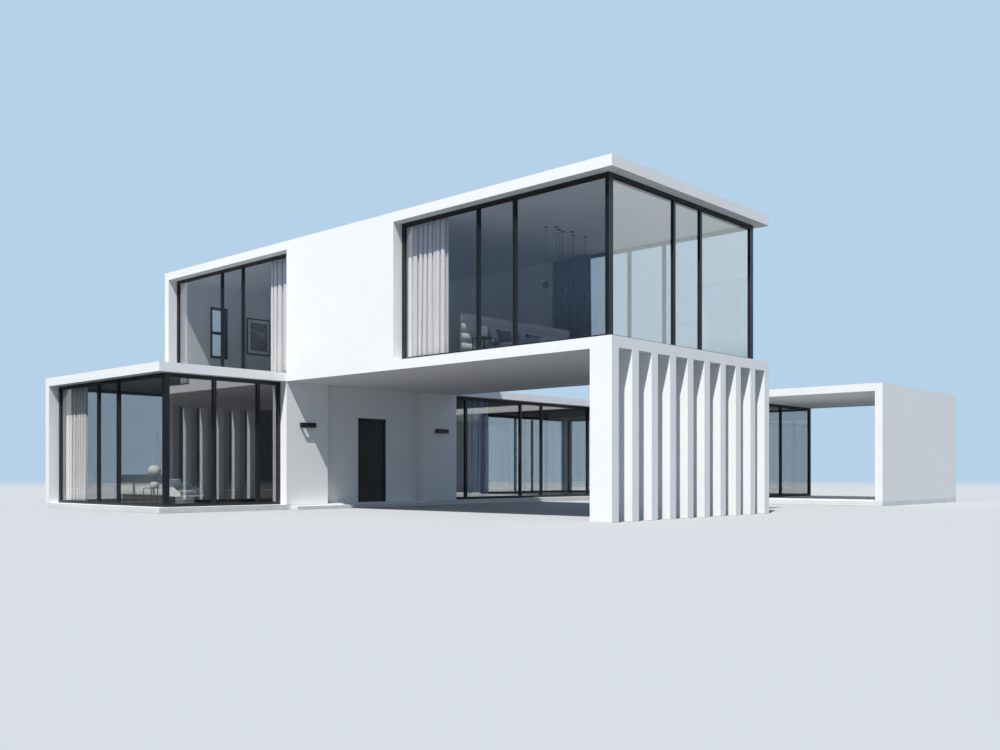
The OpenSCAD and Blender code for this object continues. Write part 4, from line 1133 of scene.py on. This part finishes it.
finish_piece(outlets, "roof_outlets", black_metal, slot="black_metal")

# %% [markdown]
# The wall lights throw their light up and down from a lamp body in the middle, which gets a frosted lens on
# both sides. A lens is a small flat bar that sits a little way down in its slot.

# %% Lenses of the wall lights
LIGHT_SHELL, LIGHT_SLOT, LENS = 0.008, 0.040, 0.004
LENS_LIFT = 0.0003
LENS_CLEAR = Vector((0.002, 0.004, 0))
lenses = bmesh.new()
for light_low, light_high in solids_of("wall_lights"):
    inset = Vector((LIGHT_SHELL, (light_high.y - light_low.y) / 3, 0)) + LENS_CLEAR
    for level in (light_low.z + LIGHT_SLOT - LENS, light_high.z - LIGHT_SLOT + LENS_LIFT):
        bar(lenses, (*(light_low + inset).xy, level),
            (*(light_high - inset).xy, level + LENS - LENS_LIFT), soft=0.001)
finish_piece(lenses, "wall_light_lenses", frosted, slot="opal_glass")

# %% [markdown]
# The picture on the wall is a quiet abstract of its own. It is framed as prints are: a pale mat board with a
# window, the print in that window, and a pane over both, each layer a little in front of the last.

# %% Picture behind its glass
def picture_material():
    """Wide blue-grey bands that drift into each other."""
    made = bpy.data.materials.new("picture_print")
    made.use_nodes = True
    tree = made.node_tree
    place = add(tree, "TexCoord").outputs["Object"]
    stretch = add(tree, "Mapping", Scale=(1, 0.5, 1.6))
    wire(tree, place, stretch.inputs["Vector"])
    bands = add(tree, "ValToRGB")
    ramp = bands.color_ramp.elements
    ramp[0].position, ramp[0].color = 0.40, (0.006, 0.011, 0.020, 1)
    ramp[1].position, ramp[1].color = 0.70, (0.28, 0.33, 0.38, 1)
    ramp.new(0.54).color = (0.016, 0.030, 0.050, 1)
    bump = add(tree, "Bump", Distance=0.0003)
    shader = tree.nodes["Principled BSDF"]
    drift = noise(tree, stretch.outputs[0], 4.5, detail=5, distortion=0.8)
    fibres = noise(tree, place, 90, detail=3)
    wire(tree, drift, bands.inputs["Fac"], fibres, bump.inputs["Height"],
         bands.outputs["Color"], shader.inputs["Base Color"], bump.outputs[0], shader.inputs["Normal"],
         0.7, shader.inputs["Roughness"])
    return made


PICTURE_EDGE, PICTURE_SEAT, MAT_MARGIN = 0.046, 0.020, 0.095
mat_board = surface("mat_board", light=(0.88, 0.90, 0.92), dark=(0.85, 0.87, 0.89), scale=4, rough=0.82,
                    grain=600, wave=20, share=0.2, depth=0.0002)
clear_glass = glass_material("clear_glass", tint=(0.97, 0.98, 0.98), shade=(0.95, 0.96, 0.96), index=1.45)
PICTURE_LAYERS = (
    ("picture_mat", mat_board, "picture_print", 0.0003, 0.003, PICTURE_EDGE),
    ("picture_sheet", picture_material(), "picture_print", 0.0032, 0.0038, PICTURE_EDGE + MAT_MARGIN),
    ("picture_pane", clear_glass, "window_glass", 0.006, 0.008, PICTURE_EDGE),
)
picture_low, picture_high = box_of("picture")
picture_seat = picture_low.x + PICTURE_SEAT
for layer_name, layer_finish, layer_slot, layer_back, layer_front, margin in PICTURE_LAYERS:
    inset = Vector((0, margin, margin))
    layer = bmesh.new()
    bar(layer, (picture_seat + layer_back, *(picture_low + inset).yz),
        (picture_seat + layer_front, *(picture_high - inset).yz), soft=0)
    finish_piece(layer, layer_name, layer_finish, slot=layer_slot)

# %% [markdown]
# The entry door closes against a rubber seal on the lip of its frame, over a steel strip on the sill, and
# its lock has a round cover on either face. The seal stays on the frame when the door opens, and the covers
# ride with the leaf.

# %% Seal and sill of the entry door
LIP_INSET = 0.045
LIP = 0.016
LIP_DEPTH = 0.020
SEAL_IN, SEAL_OUT = 0.0042, 0.0002
SEAL_SIDE = 0.004
SEAL_FOOT = 0.03
STRIP_BACK, STRIP_LOW, STRIP_HIGH = 0.001, 0.0203, 0.0218
frame_low, frame_high = box_of("door_frame")
lip_face = frame_high.x - LIP_DEPTH
opening_start, opening_end = frame_low.y + LIP_INSET, frame_high.y - LIP_INSET
opening_top = frame_high.z - LIP_INSET
seal_foot, seal_top = frame_low.z + SEAL_FOOT, opening_top - SEAL_SIDE
door_seal = bmesh.new()
for y_start, y_end, z_start in (
        (opening_start + SEAL_SIDE, opening_start + LIP, seal_foot),
        (opening_end - LIP, opening_end - SEAL_SIDE, seal_foot),
        (opening_start + LIP, opening_end - LIP, opening_top - LIP)):
    bar(door_seal, (lip_face - SEAL_IN, y_start, z_start), (lip_face - SEAL_OUT, y_end, seal_top), soft=0.001)
finish_piece(door_seal, "door_seal", rubber, slot="black_aluminium")

sill_strip = bmesh.new()
bar(sill_strip, (lip_face + STRIP_BACK, opening_start + LIP, frame_low.z + STRIP_LOW),
    (frame_high.x - STRIP_BACK, opening_end - LIP, frame_low.z + STRIP_HIGH), soft=0.0005)
finish_piece(sill_strip, "door_sill_strip", steel, slot="black_aluminium")

# %% Covers of the lock
COVER_OUTLINE = [(0, 0.0002), (0.026, 0.0002), (0.026, 0.005), (0.024, 0.007), (0.010, 0.007), (0.010, 0.010),
                 (0, 0.010)]
LEAF_IN, LEAF_OUT = 0.065, 0.005
LEVER_FROM_EDGE = 0.026
COVER_UNDER_LEVER = 0.09
QUARTER_TURN = math.radians(90)
handle_low, handle_high = box_of("door_handle")
lever_y, lever_z = handle_high.y - LEVER_FROM_EDGE, (handle_low.z + handle_high.z) / 2
lock_covers = bmesh.new()
for face, outward in ((lip_face - LEAF_IN, -1), (lip_face - LEAF_OUT, 1)):
    cover = bmesh.new()
    turned(cover, COVER_OUTLINE, (0, 0, 0))
    onto_leaf = Matrix.Translation((face, lever_y, lever_z - COVER_UNDER_LEVER))
    onto_leaf @= Matrix.Rotation(QUARTER_TURN * outward, 4, "Y")
    bmesh.ops.transform(cover, verts=cover.verts, matrix=onto_leaf)
    mesh = bpy.data.meshes.new("cover")
    cover.to_mesh(mesh)
    cover.free()
    lock_covers.from_mesh(mesh)
    bpy.data.meshes.remove(mesh)
finish_piece(lock_covers, "lock_covers", black_metal, body=DOOR, slot="black_metal")

# %% [markdown]
# ## Padded furniture
#
# The bed, the sofa and the chair are upholstered. Each pad starts as a box with rounded corners, a little
# smaller than the real pad and cut into small faces. The cuts crowd together in the corners, so that the
# rounding has points enough. A bevelled cube would do for the rounding, but its large faces couldn't swell.
#
# A pad also marks the points where a seam holds its cover down. What a seam is differs from pad to pad, so
# each pad is given a small function that tells whether a point lies on one.

# %% Boxes with rounded corners, and their seams
PAD_CELL = 0.05
CORNER_CUT = 0.35
SEAM_SHARE = 0.4


def cuts(length, corner, cell):
    """Where a side is cut: twice in each rounded corner, and evenly between."""
    between = length - 2 * corner
    count = max(1, round(between / cell))
    evenly = [corner + between * i / count for i in range(count + 1)]
    return [0, CORNER_CUT * corner] + evenly + [length - CORNER_CUT * corner, length]


def add_pad(bm, low, high, corner, held, place=Matrix.Identity(4), cells=(PAD_CELL,) * 3):
    """Adds a rounded box to bm. held tells whether a seam holds a point, measured from the low corner."""
    low, high = Vector(low), Vector(high)
    spans = [high[axis] - low[axis] for axis in range(3)]
    seam = bm.verts.layers.float.get("held") or bm.verts.layers.float.new("held")
    grid = [cuts(spans[axis], corner, cells[axis]) for axis in range(3)]
    last = [len(row) - 1 for row in grid]
    lattice = {}
    for i, x in enumerate(grid[0]):
        for j, y in enumerate(grid[1]):
            for k, z in enumerate(grid[2]):
                if i in (0, last[0]) or j in (0, last[1]) or k in (0, last[2]):
                    point = Vector((x, y, z))
                    core = Vector([min(max(point[axis], corner), spans[axis] - corner) for axis in range(3)])
                    vert = bm.verts.new(place @ (low + core + (point - core).normalized() * corner))
                    vert[seam] = 1.0 if held(point, high - low) else 0.0
                    lattice[i, j, k] = vert
    for axis in range(3):
        first, second = [other for other in range(3) if other != axis]
        for side in (0, last[axis]):
            for a in range(last[first]):
                for b in range(last[second]):
                    corners = []
                    for step_a, step_b in ((0, 0), (1, 0), (1, 1), (0, 1)):
                        key = [0, 0, 0]
                        key[axis], key[first], key[second] = side, a + step_a, b + step_b
                        corners.append(lattice[tuple(key)])
                    bm.faces.new(corners)


def at_borders(corner):
    """Seams along the borders of a boxed cushion."""
    def held(point, size):
        return sum(1 for axis in range(3) if point[axis] < corner or point[axis] > size[axis] - corner) >= 2
    return held


def at_channels(axis, count, corner):
    """Seams at even distances along an axis, as well as the borders."""
    borders = at_borders(corner)

    def held(point, size):
        turn = point[axis] / size[axis] * count
        return borders(point, size) or abs(turn - round(turn)) * size[axis] / count < SEAM_SHARE * PAD_CELL
    return held


def no_seam(point, size):
    """A pillow is held nowhere."""
    return False


print("pads have faces of about", PAD_CELL, "m")

# %% [markdown]
# A pad's seams are held still, and air pressure inside pushes the cloth out between them, as stuffing does.
# All pads are blown up together in one short simulation, and no point may move further than its pad's
# stuffing would let it. The swollen shape is then kept in the mesh, so the simulation has nothing left to
# do.

# %% Blow the pads up
BLOW_FRAMES = 12
CLOTH_SETTINGS = {"quality": 4, "mass": 0.4, "tension_stiffness": 15, "compression_stiffness": 15,
                  "shear_stiffness": 8, "bending_stiffness": 0.8, "use_pressure": True,
                  "vertex_group_mass": "held"}
blown = []


def blow_up(bm, name, material, slot, node_names, pressure, most):
    piece = finish_piece(bm, name, material, smooth=True, slot=slot)
    seams = piece.vertex_groups.new(name="held")
    marks = piece.data.attributes["held"].data
    seams.add([i for i, mark in enumerate(marks) if mark.value > 0.5], 1.0, "REPLACE")
    cloth = piece.modifiers.new("stuffing", "CLOTH")
    for word, value in CLOTH_SETTINGS.items():
        setattr(cloth.settings, word, value)
    cloth.settings.uniform_pressure_force = pressure
    cloth.settings.effector_weights.gravity = 0
    cloth.collision_settings.use_collision = False
    cloth.point_cache.frame_end = BLOW_FRAMES
    if node_names:
        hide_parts(*node_names)
    blown.append((piece, most))


def settle_pads():
    """Runs the simulation for all pads, then keeps each pad's shape in its mesh and softens it once."""
    scene = bpy.context.scene
    for frame_number in range(1, BLOW_FRAMES + 1):
        scene.frame_set(frame_number)
    seen = bpy.context.evaluated_depsgraph_get()
    for piece, most in blown:
        swollen = [vert.co.copy() for vert in piece.evaluated_get(seen).data.vertices]
        furthest = 0
        for vert, goal in zip(piece.data.vertices, swollen):
            way = goal - vert.co
            if way.length > most:
                way = way.normalized() * most
            furthest = max(furthest, way.length)
            vert.co += way
        piece.modifiers.remove(piece.modifiers["stuffing"])
        softer = piece.modifiers.new("softer", "SUBSURF")
        softer.levels = softer.render_levels = 1
        print(piece.name, "swelled by up to", round(furthest, 3), "m")
    scene.frame_set(1)


print("pads are blown up over", BLOW_FRAMES, "frames")

# %% [markdown]
# The headboard is five rolls sewn one over the other. A seam alone would only dent a flat pad, so each roll
# is drawn with the round of a circle before it is blown up, and both its ends are rounded in the same way.

# %% Headboard
HEADBOARD_ROLLS = 5
ROWS_A_ROLL = 10
ROLL_DEPTH, ROLL_SIDE = 0.050, 0.028
END_ROUND = 0.05
HEAD_CELLS = (0.05, 0.09)
HEAD_IN_LOW = Vector((0.012, 0.004, 0))
HEAD_IN_HIGH = Vector((0.002, 0.004, 0.004))
head_low, head_high = box_of("bed_headboard")
head_low += HEAD_IN_LOW
head_high -= HEAD_IN_HIGH
roll_height = (head_high.z - head_low.z) / HEADBOARD_ROLLS
row = roll_height / ROWS_A_ROLL
head = bmesh.new()
add_pad(head, head_low, head_high, row, at_channels(2, HEADBOARD_ROLLS, row), cells=(*HEAD_CELLS, row))
head_middle = (head_low.y + head_high.y) / 2
for vert in head.verts:
    turn = (vert.co.z - head_low.z) / roll_height
    fullness = math.sqrt(max(0, 1 - (2 * (turn - math.floor(turn)) - 1) ** 2))
    front = min(max((vert.co.x - head_low.x) / (head_high.x - head_low.x), 0), 1)
    vert.co.x -= ROLL_DEPTH * (1 - fullness) * front
    at_end = max(0, 1 - (head_high.y - head_middle - abs(vert.co.y - head_middle)) / END_ROUND)
    vert.co.y -= math.copysign(ROLL_SIDE * (1 - fullness) * at_end, vert.co.y - head_middle)
blow_up(head, "headboard_pad", bed_fabric, "bed_fabric", ["bed_headboard"], pressure=6, most=0.010)

# %% [markdown]
# The mattress is a boxed pad, sewn at its borders. The duvet over it is soft and lumpy: it is sewn through
# at a few points and along its rim, and blown up much further than the mattress.

# %% Mattress and duvet
MATTRESS_CORNER = 0.03
DUVET_START = 0.55
DUVET_THICK = 0.075
MATTRESS_IN_LOW = Vector((0.004, 0.006, 0))
MATTRESS_IN_HIGH = Vector((0.006, 0.006, DUVET_THICK))
DUVET_OVER = Vector((0.015, 0.02, 0))
DUVET_CORNER = 0.022
DUVET_SINK = 0.002
QUILT = 0.42
STITCH = 0.06
RIM = 0.02
mattress_low, mattress_high = box_of("bed_mattress")
mattress = bmesh.new()
add_pad(mattress, mattress_low + MATTRESS_IN_LOW, mattress_high - MATTRESS_IN_HIGH, MATTRESS_CORNER,
        at_borders(MATTRESS_CORNER))
blow_up(mattress, "mattress_pad", bed_linen, "bed_linen", ["bed_mattress"], pressure=3, most=0.012)


def quilted(point, size):
    """A duvet is sewn through at a few points, and along its rim."""
    at_rim = min(point.x, size.x - point.x, point.y, size.y - point.y) < RIM
    across, along = point.x / QUILT, point.y / QUILT
    return at_rim or (abs(across - round(across)) < STITCH and abs(along - round(along)) < STITCH)


duvet_foot = mattress_high.z - DUVET_THICK - DUVET_SINK
duvet_low = Vector((mattress_low.x + DUVET_START, mattress_low.y - DUVET_OVER.y, duvet_foot))
duvet_high = mattress_high + DUVET_OVER - Vector((0, 0, DUVET_CORNER))
duvet = bmesh.new()
add_pad(duvet, duvet_low, duvet_high, DUVET_CORNER, quilted)
blow_up(duvet, "duvet", bed_linen, "bed_linen", [], pressure=5, most=0.030)

# %% [markdown]
# Pillows have nothing but their rim: they start as a thin slab, larger than the pillow, and their sides pull
# in between the corners as they fill. They lean against the headboard, with two small cushions in front.

# %% Pillows
PILLOW = Vector((0.18, 0.70, 0.44))
CUSHION = Vector((0.14, 0.50, 0.38))
SLAB_SHARES = (0.22, 0.53, 0.53)
PILLOW_AT_LEAST = 0.6
SLAB_CORNER = 0.018
LEAN = math.radians(-18)
pillows, small_cushions = bmesh.new(), bmesh.new()
for solid_low, solid_high in solids_of("bed_pillows"):
    middle = (solid_low + solid_high) / 2
    is_pillow = solid_high.y - solid_low.y > PILLOW_AT_LEAST
    size, into = (PILLOW, pillows) if is_pillow else (CUSHION, small_cushions)
    half = Vector([length * share for length, share in zip(size, SLAB_SHARES)])
    leaning = Matrix.Translation(middle) @ Matrix.Rotation(LEAN, 4, "Y")
    add_pad(into, -half, half, SLAB_CORNER, no_seam, place=leaning)
blow_up(pillows, "pillow_pair", bed_linen, "bed_linen", ["bed_pillows"], pressure=7, most=0.06)
blow_up(small_cushions, "cushion_pair", cushion_cloth, "chair_fabric", [], pressure=7, most=0.05)

# %% [markdown]
# The sofa's back has seven upright channels, and its seat cushions, like those of the lounge chair, are sewn
# at their borders only. Each cushion starts a little smaller than its plain solid, which is the size it
# swells to.

# %% Sofa and lounge chair
BACK_CHANNELS = 7
BACK_AT_LEAST = 2
CUSHION_CORNER = 0.035


def add_cushions(node_name, inset, lowered):
    """A bmesh with one cushion for each solid of a node, smaller by an inset at the sides and on top."""
    bm = bmesh.new()
    for low, high in solids_of(node_name):
        is_back = high.x - low.x > BACK_AT_LEAST
        seams = at_channels(0, BACK_CHANNELS, CUSHION_CORNER) if is_back else at_borders(CUSHION_CORNER)
        inward = Vector((inset, inset, 0))
        add_pad(bm, low + inward, high - inward - Vector((0, 0, lowered)), CUSHION_CORNER, seams)
    return bm


sofa = add_cushions("sofa_cushions", inset=0.010, lowered=0.012)
blow_up(sofa, "sofa_pads", sofa_fabric, "sofa_fabric", ["sofa_cushions"], pressure=8, most=0.018)
lounge = add_cushions("lounge_cushions", inset=0.006, lowered=0.014)
blow_up(lounge, "lounge_pads", chair_fabric, "chair_fabric", ["lounge_cushions"], pressure=8, most=0.016)

# %% [markdown]
# The poufs are leather drums of eight panels. They are turned, and the seams are marked afterwards: two
# rings at the shoulders and one line between every two panels. A thin piping runs along both rings.

# %% Poufs
POUF_PANELS = 8
POUF_SHOULDER = 0.05
POUF_INSET = 0.012
POUF_STEPS = 48
ROWS_UP = 6
FOOT_SHARES = (0.25, 0.5, 0.75)
SHOULDER_ANGLES = (30, 60, 90)
RING_SHARE, OWN_SHARE = 0.9, 1.2
NEAR_RING, NEAR_PANEL, NEAR_GROUND = 0.004, 0.02, 0.001
PIPING = 0.005
PIPING_OUT = 0.006
PIPING_POINTS = 8


def pouf_outline(radius, height):
    """Flat foot and top with rounded shoulders, and an upright side cut into rows."""
    shoulder = POUF_SHOULDER
    foot = [(0, 0)] + [(radius * share, 0) for share in FOOT_SHARES] + [(radius - shoulder, 0)]
    foot += [(radius - shoulder * (1 - math.sin(a)), shoulder * (1 - math.cos(a)))
             for a in (math.radians(step) for step in SHOULDER_ANGLES)]
    side = [(radius, shoulder + (height - 2 * shoulder) * i / ROWS_UP) for i in range(1, ROWS_UP)]
    return foot + side + [(out, height - up) for out, up in reversed(foot)]


def piping_outline(radius, level):
    """A small ring that stands out from the side of a pouf."""
    angles = [2 * math.pi * i / PIPING_POINTS for i in range(PIPING_POINTS + 1)]
    return [(radius + PIPING_OUT + PIPING * math.sin(a), level + PIPING * math.cos(a)) for a in angles]


def on_pouf_seam(away, radius, height):
    """Whether a point, measured from the middle of the foot, lies on a ring, between two panels or below."""
    turn = math.atan2(away.y, away.x) / (2 * math.pi) * POUF_PANELS
    from_ring = min(abs(away.z - POUF_SHOULDER), abs(away.z - height + POUF_SHOULDER))
    on_ring = from_ring < NEAR_RING and away.xy.length > radius * RING_SHARE
    return on_ring or abs(turn - round(turn)) < NEAR_PANEL or away.z < NEAR_GROUND


poufs, piping = bmesh.new(), bmesh.new()
pouf_seam = poufs.verts.layers.float.new("held")
for solid_low, solid_high in solids_of("poufs"):
    middle = (solid_low + solid_high) / 2
    radius, height = (solid_high.x - solid_low.x) / 2 - POUF_INSET, solid_high.z - solid_low.z - POUF_INSET
    foot = Vector((middle.x, middle.y, solid_low.z))
    turned(poufs, pouf_outline(radius, height), foot, steps=POUF_STEPS)
    for level in (POUF_SHOULDER, height - POUF_SHOULDER):
        turned(piping, piping_outline(radius, level), foot, steps=64)
    for vert in poufs.verts:
        away = vert.co - foot
        if away.xy.length <= radius * OWN_SHARE and on_pouf_seam(away, radius, height):
            vert[pouf_seam] = 1.0
blow_up(poufs, "pouf_pads", brown_leather, "brown_leather", ["poufs"], pressure=6, most=0.014)
finish_piece(piping, "pouf_piping", chair_shell, smooth=True, slot="chair_shell")
settle_pads()

# %% [markdown]
# A throw lies across the foot of the bed. It is one woven sheet: flat on the duvet, round its edge, and down
# both sides, where it falls in soft waves that grow towards the hem.

# %% Throw
THROW_WIDE = 0.75
THROW_DROP = 0.24
THROW_ROUND = 0.035
THROW_LIFT = 0.020
THROW_FROM_FOOT = 0.95
THROW_OUT = 0.035
THROW_THICK = 0.005
RIPPLES = ((0.004, 9, 7), (0.003, 23, -11))
EDGE_SWING = 0.012
HEM_OUT, HEM_WAVE, HEM_WAVES = 0.010, 0.012, 4
LEFT_PHASE, RIGHT_PHASE = 2.4, 1
throw_top = mattress_high.z + THROW_LIFT
throw_x = mattress_high.x - THROW_FROM_FOOT
half_bed = (mattress_high.y - mattress_low.y) / 2 + THROW_OUT
bed_middle = (mattress_low.y + mattress_high.y) / 2
throw_half = half_bed + THROW_DROP


def throw_point(along, side):
    """Where a point of the throw lies. side goes from -1 at one hem to 1 at the other."""
    reach = abs(side) * throw_half
    wave = sum(rise * math.sin(over * side + down * along) for rise, over, down in RIPPLES)
    flat_end = half_bed - THROW_ROUND
    turn = min(max((reach - flat_end) / THROW_ROUND, 0), math.pi / 2)
    fallen = max(reach - flat_end - THROW_ROUND * math.pi / 2, 0)
    out = min(reach, flat_end) + THROW_ROUND * math.sin(turn)
    hem = math.sin(2 * math.pi * along * HEM_WAVES + (RIGHT_PHASE if side > 0 else LEFT_PHASE))
    ripple = fallen / THROW_DROP * (HEM_OUT + HEM_WAVE * hem)
    return Vector((throw_x + THROW_WIDE * along + EDGE_SWING * math.sin(5 * side),
                   bed_middle + math.copysign(out + ripple, side),
                   throw_top + wave * math.cos(turn) - THROW_ROUND * (1 - math.cos(turn)) - fallen))


throw = bmesh.new()
bmesh.ops.create_grid(throw, x_segments=30, y_segments=110, size=0.5)
throw_map = throw.loops.layers.uv.new("cloth")
throw_shares = {vert: (vert.co.x + 0.5, vert.co.y * 2) for vert in throw.verts}
for vert, (along, side) in throw_shares.items():
    vert.co = throw_point(along, side)
for face in throw.faces:
    for loop in face.loops:
        along, side = throw_shares[loop.vert]
        loop[throw_map].uv = (along * THROW_WIDE, side * throw_half)
throw_piece = finish_piece(throw, "bed_throw", throw_cloth, smooth=True, slot="chair_fabric")
thicken(throw_piece, THROW_THICK)

# %% [markdown]
# A white glazed vase stands on the bedside table nearer to the window. It is turned from one outline, up its
# outside, over the rim and down inside, so that its wall has a real thickness.

# %% Vase
VASE_OUTSIDE = [(0, 0), (0.060, 0), (0.068, 0.006), (0.090, 0.07), (0.100, 0.15), (0.096, 0.22),
                (0.080, 0.28), (0.078, 0.31)]
VASE_INSIDE = [(0.073, 0.31), (0.074, 0.28), (0.090, 0.22), (0.094, 0.15), (0.084, 0.07), (0.062, 0.012),
               (0, 0.010)]
VASE_LIFT = 0.0005
glaze = surface("white_glaze", light=(0.93, 0.93, 0.92), dark=(0.90, 0.90, 0.89), scale=8, rough=0.18,
                grain=200, wave=40, share=0.4, depth=0.0002)
vase = bmesh.new()
for table_low, table_high in solids_of("side_tables"):
    upstairs = table_low.z > face_of("upper_floor", 0, "z")
    if upstairs and table_low.y < bed_middle:
        table_middle = (table_low + table_high) / 2
        vase_foot = Vector((table_middle.x, table_middle.y, table_high.z + VASE_LIFT))
turned(vase, VASE_OUTSIDE + VASE_INSIDE, vase_foot, steps=48)
finish_piece(vase, "bedside_vase", glaze, smooth=True, slot="opal_glass")
